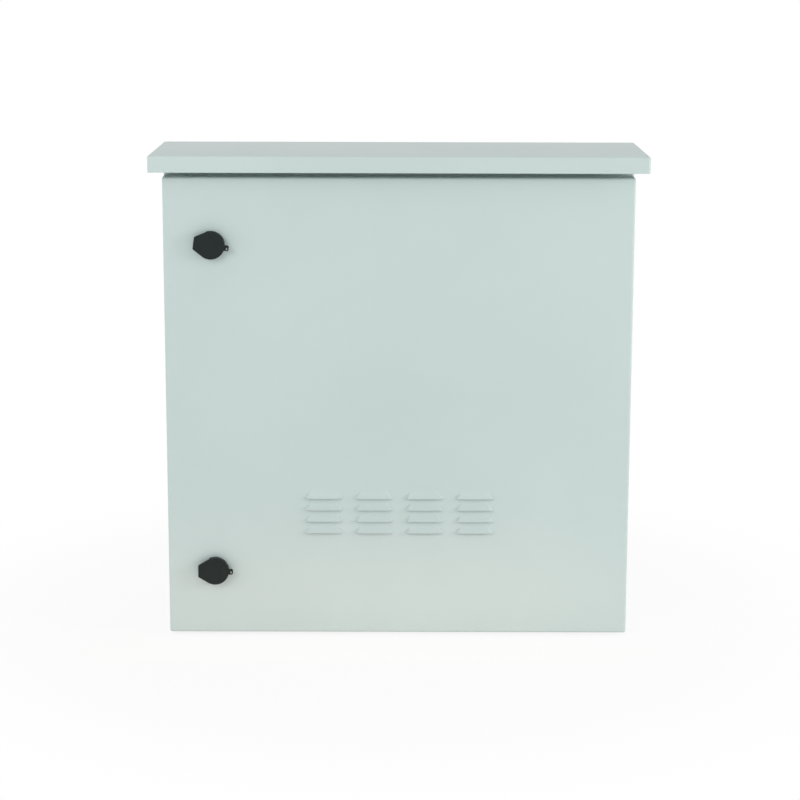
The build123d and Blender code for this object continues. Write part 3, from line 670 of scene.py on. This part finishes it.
def sheet_point(across, up):
    """Place of a grid point, from its flat place and its distance past the edge, each way."""
    (x, past_x), (z, past_z) = across, up
    reach = max(abs(past_x), abs(past_z))
    if not reach:
        return x, skin_y, z
    a, b = abs(past_x) / reach, abs(past_z) / reach
    heading = b * math.pi / 4 if a >= b else math.pi / 2 - a * math.pi / 4
    out, back = folded(reach)
    aside = math.copysign(out * math.cos(heading), past_x)
    aloft = math.copysign(out * math.sin(heading), past_z)
    return x + aside, skin_y + back, z + aloft


def sheet_lines(low, high, inner):
    """Grid lines one way: the folded edge, the flat, and the other folded edge."""
    low, high = low + bend, high - bend
    flat = sorted({round(place, same_place_digits) for place in (low, *inner, high)})
    lines = [(low, -past) for past in reversed(past_edge)]
    lines += [(place, 0.0) for place in flat]
    return lines + [(high, past) for past in past_edge]


column_places = [
    louvre_middle_x + (c - (louvre_columns - 1) / 2) * column_pitch for c in range(louvre_columns)
]
slit_places = [lowest_slit_z + r * row_pitch for r in range(louvre_rows)]
across_lines = sheet_lines(door_low.x, door_high.x, [x + u for x in column_places for u in patch_us])
up_lines = sheet_lines(
    door_low.z, door_high.z, [z + v for z in slit_places for v in patch_below + patch_above[1:]]
)


def in_patch(x, z):
    """True inside the hole that is left for a louvre."""
    beside = any(abs(x - place) < cell_half for place in column_places)
    return beside and slit_places[0] - cell_below < z < slit_places[-1] - cell_below + row_pitch


def make_door_sheet():
    """The door's outer face, folded back all round, with holes for the louvre patches."""
    points = [sheet_point(across, up) for up in up_lines for across in across_lines]
    faces = []
    for face in grid_faces(len(across_lines), len(up_lines)):
        x, z = (sum(points[i][axis] for i in face) / 4 for axis in (0, 2))
        if not in_patch(x, z):
            faces.append(face)
    return placed("door_sheet", new_mesh("door_sheet", points, faces))


door_sheet = make_door_sheet()
print("door sheet:", len(door_sheet.data.polygons), "faces")

# %% [markdown]
# Sixteen equal louvres call for a tree: a grid of points, a patch on each, and one weld at the end. An
# Array modifier could repeat the patch too, but only the weld makes sheet and louvres one piece of
# metal, which then gets its thickness all at once.


# %% Louvre field as Geometry Nodes
def new_geometry_tree(name, inputs):
    """Geometry tree with a mesh in and out, and named inputs for its sizes."""
    tree = bpy.data.node_groups.new(name, "GeometryNodeTree")
    for side in ("INPUT", "OUTPUT"):
        tree.interface.new_socket("Geometry", in_out=side, socket_type="NodeSocketGeometry")
    for label, kind in inputs.items():
        tree.interface.new_socket(label, in_out="INPUT", socket_type="NodeSocket" + kind)
    return tree, add(tree, "NodeGroupInput"), add(tree, "NodeGroupOutput")


def make_louvre_tree():
    """Sets a patch on every point of an upright grid and welds it into the sheet."""
    tree, entry, out = new_geometry_tree("louvre_field", {
        "Patch": "Object", "Columns": "Int", "Rows": "Int", "Width": "Float", "Height": "Float",
        "Middle": "Vector", "Paint": "Material",
    })
    given = entry.outputs
    grid = add(tree, "GeometryNodeMeshGrid", Size_X=given["Width"], Size_Y=given["Height"],
               Vertices_X=given["Columns"], Vertices_Y=given["Rows"])
    upright = add(tree, "GeometryNodeTransform", Geometry=grid.outputs["Mesh"],
                  Translation=given["Middle"], Rotation=(math.pi / 2, 0, 0))
    patch = add(tree, "GeometryNodeObjectInfo", Object=given["Patch"])
    copies = add(tree, "GeometryNodeInstanceOnPoints", Points=upright.outputs["Geometry"],
                 Instance=patch.outputs["Geometry"])
    both = add(tree, "GeometryNodeJoinGeometry")
    join(tree, entry, "Geometry", both, 0)
    join(tree, copies, "Instances", both, 0)
    real = add(tree, "GeometryNodeRealizeInstances", Geometry=both.outputs[0])
    weld = add(tree, "GeometryNodeMergeByDistance", Geometry=real.outputs[0], Distance=seam_gap)
    paint = add(tree, "GeometryNodeSetMaterial", Geometry=weld.outputs[0], Material=given["Paint"])
    join(tree, paint, 0, out, 0)
    return tree


def evaluated(piece):
    """The piece's mesh with its modifiers applied, as a plain mesh."""
    graph = bpy.context.evaluated_depsgraph_get()
    return bpy.data.meshes.new_from_object(piece.evaluated_get(graph), depsgraph=graph)


def grow(piece, tree, values):
    """The piece's mesh after a geometry tree, as a plain mesh; the piece is left without the modifier."""
    modifier = piece.modifiers.new(tree.name, "NODES")
    modifier.node_group = tree
    for item in tree.interface.items_tree:
        if item.in_out == "INPUT" and item.name in values:
            modifier[item.identifier] = values[item.name]
    mesh = evaluated(piece)
    piece.modifiers.remove(modifier)
    return mesh


pressed = grow(door_sheet, make_louvre_tree(), {
    "Patch": louvre_patch,
    "Columns": louvre_columns,
    "Rows": louvre_rows,
    "Width": column_pitch * (louvre_columns - 1),
    "Height": row_pitch * (louvre_rows - 1),
    "Middle": (louvre_middle_x, skin_y, (slit_places[0] + slit_places[-1]) / 2),
    "Paint": powder_coat,
})
print("pressed door:", len(pressed.polygons), "faces")

# %% [markdown]
# ## Turned forms
# Studs, nuts, screws and grommets are turned: an outline of radius and height is carried round an axis.
# Blender's Screw modifier could do that, but a short loop also lets a rule change the radius on the way
# round, and that is all it takes to cut a hexagon or a thread.

# %% Turned forms
round_steps = 48
thread_depth_share, rows_per_thread = 0.6, 6
nut_face_share, chamfer_steps = 0.97, 4
chamfer_slope = math.tan(math.radians(30))


def ring_faces(count, rows):
    """Quads of a closed outline that is carried round a closed path."""
    faces = []
    for i in range(count):
        here, after = i * rows, (i + 1) % count * rows
        for k in range(rows):
            m = (k + 1) % rows
            faces.append((here + k, after + k, after + m, here + m))
    return faces


def turned(name, outline, steps=round_steps, rule=None):
    """Object turned about the Z axis from a closed outline of radius and height pairs."""
    points = []
    for i in range(steps):
        angle = 2 * math.pi * i / steps
        for radius, height in outline:
            if rule:
                radius = rule(radius, height, angle)
            points.append((radius * math.cos(angle), radius * math.sin(angle), height))
    mesh = new_mesh(name, points, ring_faces(steps, len(outline)))
    return placed(name, merged(mesh, outwards=True))


def hexagonal(flats, above):
    """Rule that cuts a turned form to a hexagon, above a height."""

    def rule(radius, height, angle):
        off_flat = (angle + math.pi / 6) % (math.pi / 3) - math.pi / 6
        return min(radius, flats / 2 / math.cos(off_flat)) if height > above else radius

    return rule


def threaded(pitch, low, high):
    """Rule that cuts a thread between two heights."""

    def rule(radius, height, angle):
        wave = abs((height / pitch - angle / (2 * math.pi)) % 1 - 0.5) * 2
        return radius - thread_depth_share * pitch * wave if low < height < high else radius

    return rule


def stud_side(radius, pitch, low, high):
    """Side and tip of a threaded stud, with rows close enough to carry the thread."""
    rows = math.ceil((high - low) / pitch * rows_per_thread)
    side = [(radius, low + (high - low) * i / rows) for i in range(rows)]
    return [*side, (radius - thread_depth_share * pitch, high), (0.0, high)]


def nut_side(flats, low, high):
    """Side of a nut, chamfered at both ends where a hexagon's corners are cut back."""
    corner, face = flats / math.sqrt(3), nut_face_share * flats / 2
    cut = corner - face
    shares = [i / chamfer_steps for i in range(chamfer_steps + 1)]
    lower = [(face + cut * share, low + cut * chamfer_slope * share) for share in shares]
    return lower + [(radius, low + high - height) for radius, height in reversed(lower)]


print("turned forms ready")

# %% [markdown]
# So far the door is a skin without thickness. The wall could be drawn as a second skin, but Solidify
# finds it by itself, and gives the sheet its thickness inwards, so that the outside keeps its size.
# Then two plugs, the first and plainest of the turned forms, drill the holes for the locks.

# %% Thickness and lock holes of the door
lock_hole_radius = 11.15 * mm
drill_reach = 3 * sheet


def finished(mesh, *modifiers):
    """The mesh with modifiers applied; each is a type and its settings."""
    holder = placed("holder", mesh)
    for kind, settings in modifiers:
        modifier = holder.modifiers.new(kind, kind)
        for name, value in settings.items():
            setattr(modifier, name, value)
    result = evaluated(holder)
    bpy.data.objects.remove(holder)
    return result


def cut_away(cutter):
    """Modifier that takes a cutter's shape out of a mesh."""
    return "BOOLEAN", {"operation": "DIFFERENCE", "solver": "EXACT", "object": cutter}


def lock_drill(end):
    """Plug through the door, on the axis of the upper or the lower lock."""
    low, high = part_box(end + "_lock_seal")
    near, far = (lock_hole_radius, -drill_reach), (lock_hole_radius, drill_reach)
    plug = turned(end + "_drill", [(0, -drill_reach), near, far, (0, drill_reach)])
    plug.data.transform(Matrix.Translation((low + high) / 2) @ Matrix.Rotation(math.pi / 2, 4, "X"))
    return plug


drills = [lock_drill("lower"), lock_drill("upper")]
thickness = {"thickness": sheet, "offset": -1.0, "use_even_offset": True, "use_rim": True}
walled = finished(pressed, ("SOLIDIFY", thickness), *[cut_away(drill) for drill in drills])
settle("door_skin", shaded(walled), "door_panel")
for helper in (louvre_patch, door_sheet, *drills):
    bpy.data.objects.remove(helper)
print("door:", len(walled.polygons), "faces")

# %% [markdown]
# ## Studs, nuts and screws
# Welded studs with nuts hold the roof, the equipment plate and the filter, and carry the earthing
# points. One fastener of each kind is turned, and a tree sets it on every place, facing one way and
# turned by chance as hands leave it. The places come from the boxes of the nodes that they stand for.


# %% Fastener sets as Geometry Nodes
def make_fastener_tree():
    """Sets a fastener on every point, facing one way, each turned about its axis by chance."""
    tree, entry, out = new_geometry_tree("fastener_set", {
        "Fastener": "Object", "Facing": "Vector", "Most turn": "Float", "Seed": "Int", "Finish": "Material",
    })
    given = entry.outputs
    shape = add(tree, "GeometryNodeObjectInfo", Object=given["Fastener"])
    aim = add(tree, "FunctionNodeEulerToRotation", Euler=given["Facing"])
    chance = add(tree, "FunctionNodeRandomValue", {"data_type": "FLOAT"}, Seed=given["Seed"])
    join(tree, entry, "Most turn", chance, 3)
    spin = add(tree, "FunctionNodeAxisAngleToRotation", Angle=chance.outputs[1])
    turn = add(tree, "FunctionNodeRotateRotation", {"rotation_space": "LOCAL"},
               Rotation=aim.outputs[0], Rotate_By=spin.outputs[0])
    copies = add(tree, "GeometryNodeInstanceOnPoints", Points=given["Geometry"],
                 Instance=shape.outputs["Geometry"], Rotation=turn.outputs[0])
    real = add(tree, "GeometryNodeRealizeInstances", Geometry=copies.outputs[0])
    finish = add(tree, "GeometryNodeSetMaterial", Geometry=real.outputs[0], Material=given["Finish"])
    join(tree, finish, 0, out, 0)
    return tree


fastener_tree = make_fastener_tree()
up, down = (0.0, 0.0, 0.0), (math.pi, 0.0, 0.0)
to_front, to_back, to_right = (math.pi / 2, 0.0, 0.0), (-math.pi / 2, 0.0, 0.0), (0.0, math.pi / 2, 0.0)
full_turn = 2 * math.pi


def places_on(node, inset, seat_axis, seat_high=False, counts=(2, 2)):
    """Places on a grid over a node's box, drawn in by an inset, on the side where the pieces are seated."""
    low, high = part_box(node)
    first, second = (axis for axis in range(3) if axis != seat_axis)
    places = []
    for a in np.linspace(low[first] + inset, high[first] - inset, counts[0]):
        for b in np.linspace(low[second] + inset, high[second] - inset, counts[1]):
            place = list(high if seat_high else low)
            place[first], place[second] = float(a), float(b)
            places.append(place)
    return places


def seated(places, axis, seat):
    """The same places on another plane across one axis."""
    return [[seat if i == axis else value for i, value in enumerate(place)] for place in places]


def set_fasteners(node, fastener, places, facing, most_turn=full_turn, seed=1):
    """Equal fasteners on their places, in one mesh, which stands for a node of the frame."""
    holder = placed(node + "_places", new_mesh(node + "_places", places))
    mesh = grow(holder, fastener_tree, {
        "Fastener": fastener, "Facing": facing, "Most turn": most_turn, "Seed": seed,
        "Finish": finishes[node_slot[node]],
    })
    bpy.data.objects.remove(holder)
    settle("set_" + node, shaded(mesh), node)
    print(node, len(places), "placed,", len(mesh.polygons), "faces")


# %% Studs and nuts of the roof and the earthing points
m6_radius, m6_pitch, m6_flats, m6_nut = 3.0 * mm, 1.0 * mm, 10.0 * mm, 5.0 * mm
m6_washer_radius, m6_washer = 7.0 * mm, 1.6 * mm
roof_stud_length, earth_stud_length = 11.1 * mm, 20.0 * mm
stud_steps, nut_steps = 24, 72


def make_stud(name, radius, pitch, length):
    """Plain welded stud, threaded from end to end."""
    outline = [(0.0, 0.0), *stud_side(radius, pitch, 0.0, length)]
    return turned(name, outline, stud_steps, threaded(pitch, 0.0, length))


def make_washered_nut(name):
    """Nut with its washer, seated at zero."""
    washer = [(m6_radius, 0.0), (m6_washer_radius, 0.0), (m6_washer_radius, m6_washer)]
    top = m6_washer + m6_nut
    outline = [*washer, *nut_side(m6_flats, m6_washer, top), (m6_radius, top)]
    return turned(name, outline, nut_steps, hexagonal(m6_flats, m6_washer))


roof_stud = make_stud("roof_stud", m6_radius, m6_pitch, roof_stud_length)
earth_stud = make_stud("earth_stud", m6_radius, m6_pitch, earth_stud_length)
washered_nut = make_washered_nut("washered_nut")

roof_places = places_on("roof_studs", m6_radius, 2, seat_high=True)
set_fasteners("roof_studs", roof_stud, roof_places, down)
set_fasteners("roof_nuts", washered_nut, seated(roof_places, 2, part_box("roof_nuts")[1].z), down)
for side, axis, facing in (("body", 0, to_right), ("door", 1, to_back)):
    place = places_on(side + "_earth_stud", m6_radius, axis, counts=(1, 1))
    set_fasteners(side + "_earth_stud", earth_stud, place, facing)
    set_fasteners(side + "_earth_nut", washered_nut, place, facing, seed=3)

# %% Studs and nuts of the equipment plate and the filter
m8_radius, m8_pitch, m8_flats, m8_nut = 4.0 * mm, 1.25 * mm, 13.0 * mm, 6.5 * mm
collar_radius, collar_length, post_length, collar_edge = 8.0 * mm, 20.0 * mm, 31.5 * mm, 0.6 * mm
m4_radius, m4_pitch, m4_flats, m4_nut, m4_length = 2.0 * mm, 0.7 * mm, 7.0 * mm, 3.2 * mm, 7.1 * mm
post_steps = 36


def make_nut(name, bore, flats, height):
    """Plain hexagon nut, seated at zero."""
    outline = [(bore, 0.0), *nut_side(flats, 0.0, height), (bore, height)]
    return turned(name, outline, nut_steps, hexagonal(flats, -mm))


collar = [
    (0.0, 0.0), (collar_radius, 0.0), (collar_radius, collar_length - collar_edge),
    (collar_radius - collar_edge, collar_length),
]
post_side = stud_side(m8_radius, m8_pitch, collar_length, post_length)
post_thread = threaded(m8_pitch, collar_length, post_length)
plate_post = turned("plate_post", collar + post_side, post_steps, post_thread)
plate_nut = make_nut("plate_nut", m8_radius, m8_flats, m8_nut)
filter_stud = make_stud("filter_stud", m4_radius, m4_pitch, m4_length)
filter_nut = make_nut("filter_nut", m4_radius, m4_flats, m4_nut)

post_places = places_on("plate_standoffs", collar_radius, 1, seat_high=True)
set_fasteners("plate_standoffs", plate_post, post_places, to_front)
set_fasteners("plate_nuts", plate_nut, seated(post_places, 1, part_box("plate_nuts")[1].y), to_front, seed=5)
filter_places = places_on("filter_studs", m4_radius, 1)
set_fasteners("filter_studs", filter_stud, filter_places, to_back)
filter_nut_places = seated(filter_places, 1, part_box("filter_nuts")[0].y)
set_fasteners("filter_nuts", filter_nut, filter_nut_places, to_back, seed=6)

# %% [markdown]
# The cable entry is screwed down with pan-head screws, and each lock's cam with a hexagon screw. A pan
# head is a turned dome with a cross driven into it. Modelling the cross face by face would take long,
# so two small blades cut it.

# %% Screws of the cable entry and the locks
pan_radius, pan_height, pan_edge = 4.8 * mm, 3.2 * mm, 1.1 * mm
pan_shank_radius, pan_shank, pan_pitch = 2.5 * mm, 5.5 * mm, 0.8 * mm
cross_length, cross_width, cross_depth = 5.4 * mm, 1.1 * mm, 1.7 * mm
cam_washer_radius, cam_washer, cam_head, cam_shank = 7.0 * mm, 1.6 * mm, 4.0 * mm, 12.0 * mm
cam_flats, dome_steps = 10.0 * mm, 7


def blade(length, width, top, depth):
    """Small block that cuts one arm of a cross into a screw's head."""
    work = bmesh.new()
    bmesh.ops.create_cube(work, size=1.0)
    bmesh.ops.scale(work, vec=(length, width, 2 * depth), verts=work.verts)
    bmesh.ops.translate(work, vec=(0.0, 0.0, top), verts=work.verts)
    mesh = bpy.data.meshes.new("blade")
    work.to_mesh(mesh)
    work.free()
    return placed("blade", mesh)


def make_pan_screw():
    """Pan-head screw on its tip, with a cross in its head."""
    rows = math.ceil(pan_shank / pan_pitch * rows_per_thread)
    shank = [(0.0, 0.0)] + [(pan_shank_radius, pan_shank * i / rows) for i in range(rows)]
    head = [(pan_shank_radius, pan_shank), (pan_radius, pan_shank), (pan_radius, pan_shank + pan_edge)]
    for i in range(1, dome_steps + 1):
        angle = math.pi / 2 * i / dome_steps
        rise = (pan_height - pan_edge) * math.sin(angle)
        head.append((pan_radius * math.cos(angle), pan_shank + pan_edge + rise))
    screw = turned("pan_screw", shank + head, rule=threaded(pan_pitch, 0.0, pan_shank))
    top = pan_shank + pan_height
    arms = (cross_length, cross_width), (cross_width, cross_length)
    blades = [blade(length, width, top, cross_depth) for length, width in arms]
    screw.data = finished(screw.data.copy(), *[cut_away(arm) for arm in blades])
    for arm in blades:
        bpy.data.objects.remove(arm)
    return screw


def make_cam_screw():
    """Hexagon screw with its washer; the cam's back is at zero."""
    washer = [(0.0, -cam_shank), (m6_radius, -cam_shank), (m6_radius, 0.0), (cam_washer_radius, 0.0),
              (cam_washer_radius, cam_washer)]
    top = cam_washer + cam_head
    outline = [*washer, *nut_side(cam_flats, cam_washer, top), (0.0, top)]
    return turned("cam_screw", outline, nut_steps, hexagonal(cam_flats, cam_washer))


pan_screw, cam_screw = make_pan_screw(), make_cam_screw()
set_fasteners("gland_screws", pan_screw, places_on("gland_screws", pan_radius, 2, counts=(3, 2)), up, seed=8)
for end in ("lower", "upper"):
    node = end + "_lock_cam_screw"
    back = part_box(node)[1].y - cam_washer - cam_head
    places = seated(places_on(node, cam_washer_radius, 1, counts=(1, 1)), 1, back)
    set_fasteners(node, cam_screw, places, to_back)

# %% [markdown]
# The grommets that close the cable holes are rubber mouldings: two lips grip the plate, and a stepped
# cone is cut back to fit the cable. They are round, so they are turned from one outline as well.

# %% Cable grommets
lip_radius, groove_radius, bore_radius = 23.5 * mm, 20.0 * mm, 10.8 * mm
cone_foot, cone_tip, tip_wall = 12.4 * mm, 6.0 * mm, 1.6 * mm
lip_edge, lower_lip, plate_top, upper_lip, cone_top = 0.5 * mm, 1.6 * mm, 3.6 * mm, 5.2 * mm, 12.2 * mm
cone_steps, step_shares = 4, ((0.0, 0.0), (0.35, 0.75), (0.85, 0.9))
grommet_steps = 64


def grommet_outline():
    """Half section of a grommet: stepped cone, two lips with the plate's groove between, and the bore."""
    outline = [(0.0, cone_top), (cone_tip - lip_edge, cone_top)]
    for i in range(cone_steps):
        for out_share, down_share in step_shares:
            outline.append((
                cone_tip + (cone_foot - cone_tip) * (i + out_share) / cone_steps,
                cone_top - lip_edge - (cone_top - lip_edge - upper_lip) * (i + down_share) / cone_steps,
            ))
    outline += [(cone_foot, upper_lip), (lip_radius - lip_edge, upper_lip)]
    outline += [(lip_radius, upper_lip - lip_edge), (lip_radius, plate_top)]
    outline += [(groove_radius, plate_top), (groove_radius, lower_lip), (lip_radius, lower_lip)]
    outline += [(lip_radius, lip_edge), (lip_radius - lip_edge, 0.0), (bore_radius, 0.0)]
    inner_top = cone_top - tip_wall
    return outline + [(bore_radius, upper_lip - tip_wall), (cone_tip - lip_edge, inner_top), (0.0, inner_top)]


grommet = turned("grommet", grommet_outline(), grommet_steps)
set_fasteners("cable_grommets", grommet, places_on("cable_grommets", lip_radius, 2, counts=(4, 1)), up, 0.0)
for helper in (roof_stud, earth_stud, washered_nut, plate_post, plate_nut, filter_stud, filter_nut,
               pan_screw, cam_screw, grommet):
    bpy.data.objects.remove(helper)

# %% [markdown]
# ## Door seal and filter mat
# The seal is a bead of foam, laid round the back of the door, that the frame's lip presses into. Its
# section is swept along a rounded rectangle: full at the foot, crowned, with a faint groove where the
# lip has rested, and a little uneven, as laid foam is. A bevelled curve could sweep a section too, but
# not one that changes on the way. Foam gives way.

# %% Door seal
seal_low, seal_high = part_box("door_gasket")
seal_width, seal_corner = 10.0 * mm, 12.0 * mm
seal_fullness, seal_steps, seal_spacing = 3.4, 16, 9.0 * mm
groove_depth, groove_width, seal_unevenness = 0.45 * mm, 1.3 * mm, 0.22 * mm
quick_wave, slow_wave, wave_start = 0.61, 0.173, 1.0
corner_steps = 8


def rounded_path(low_x, high_x, low_z, high_z, corner, spacing):
    """Points along a rounded rectangle, each with the way out from it."""
    path = []
    for quarter, (x, z) in enumerate((
        (high_x - corner, high_z - corner), (low_x + corner, high_z - corner),
        (low_x + corner, low_z + corner), (high_x - corner, low_z + corner),
    )):
        for i in range(corner_steps + 1):
            angle = math.pi / 2 * (quarter + i / corner_steps)
            out = Vector((math.cos(angle), 0.0, math.sin(angle)))
            path.append((Vector((x, 0.0, z)) + out * corner, out))
    filled = []
    for (place, out), (after, _) in zip(path, path[1:] + path[:1]):
        count = max(1, round((after - place).length / spacing))
        filled += [(place.lerp(after, i / count), out) for i in range(count)]
    return filled


def make_seal():
    """Bead of foam on the door's back."""
    half = seal_width / 2
    path = rounded_path(seal_low.x + half, seal_high.x - half, seal_low.z + half, seal_high.z - half,
                        seal_corner, seal_spacing)
    height = seal_high.y - seal_low.y
    points = []
    for i, (place, out) in enumerate(path):
        wave = math.sin(i * quick_wave) * math.sin(i * slow_wave + wave_start)
        sag = seal_unevenness * (1 + wave) / 2
        for k in range(seal_steps + 1):
            angle = math.pi * k / seal_steps
            aside = half * math.copysign(abs(math.cos(angle)) ** (2 / seal_fullness), math.cos(angle))
            rise = (height - sag) * math.sin(angle) ** (2 / seal_fullness)
            rise -= groove_depth * math.exp(-((aside / groove_width) ** 2))
            points.append(place + out * aside + Vector((0.0, seal_low.y + max(0.0, rise), 0.0)))
    mesh = new_mesh("door_seal", points, ring_faces(len(path), seal_steps + 1))
    mesh.materials.append(sealing_foam)
    return merged(mesh, outwards=True)


door_seal = settle("door_seal", make_seal(), "door_gasket")
print("door seal:", len(door_seal.data.polygons), "faces")

# %% [markdown]
# The filter is a soft mat cut to size, so its faces are never quite flat. A cloth simulation would puff
# it up like a cushion. Slow noise on two faces that close over rounded edges keeps it a mat.

# %% Filter mat
mat_low, mat_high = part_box("filter_mat")
mat_cells_across, mat_cells_up = 60, 20
mat_edge_power, mat_unevenness, mat_lumps_per_metre = 22, 0.8 * mm, 38.0


def edge_lines(count):
    """Places from -1 to 1, closer together near both ends."""
    return [math.sin(math.pi / 2 * math.sin(math.pi / 2 * (2 * i / count - 1))) for i in range(count + 1)]


def edge_fullness(a, b):
    """Share of the mat's thickness at a place: full inside, and rounded off at the edges."""
    inside = (1 - abs(a) ** mat_edge_power) * (1 - abs(b) ** mat_edge_power)
    return max(0.0, inside) ** (1 / mat_edge_power)


def make_filter_mat():
    """Soft slab whose two faces close over rounded edges, with slow lumps in both."""
    centre, half = (mat_low + mat_high) / 2, (mat_high - mat_low) / 2
    points = []
    for side in (-1, 1):
        for b in edge_lines(mat_cells_up):
            for a in edge_lines(mat_cells_across):
                x, z = centre.x + a * half.x, centre.z + b * half.z
                lump = noise.noise(Vector((x, side, z)) * mat_lumps_per_metre)
                depth = edge_fullness(a, b) * (half.y - mat_unevenness * (1 + lump) / 2)
                points.append((x, centre.y + side * depth, z))
    columns, rows = mat_cells_across + 1, mat_cells_up + 1
    faces = grid_faces(columns, rows) + grid_faces(columns, rows, columns * rows)
    return merged(new_mesh("filter_pad", points, faces), outwards=True)


filter_pad = settle("filter_pad", make_filter_mat(), "filter_mat")
print("filter pad:", len(filter_pad.data.polygons), "faces")
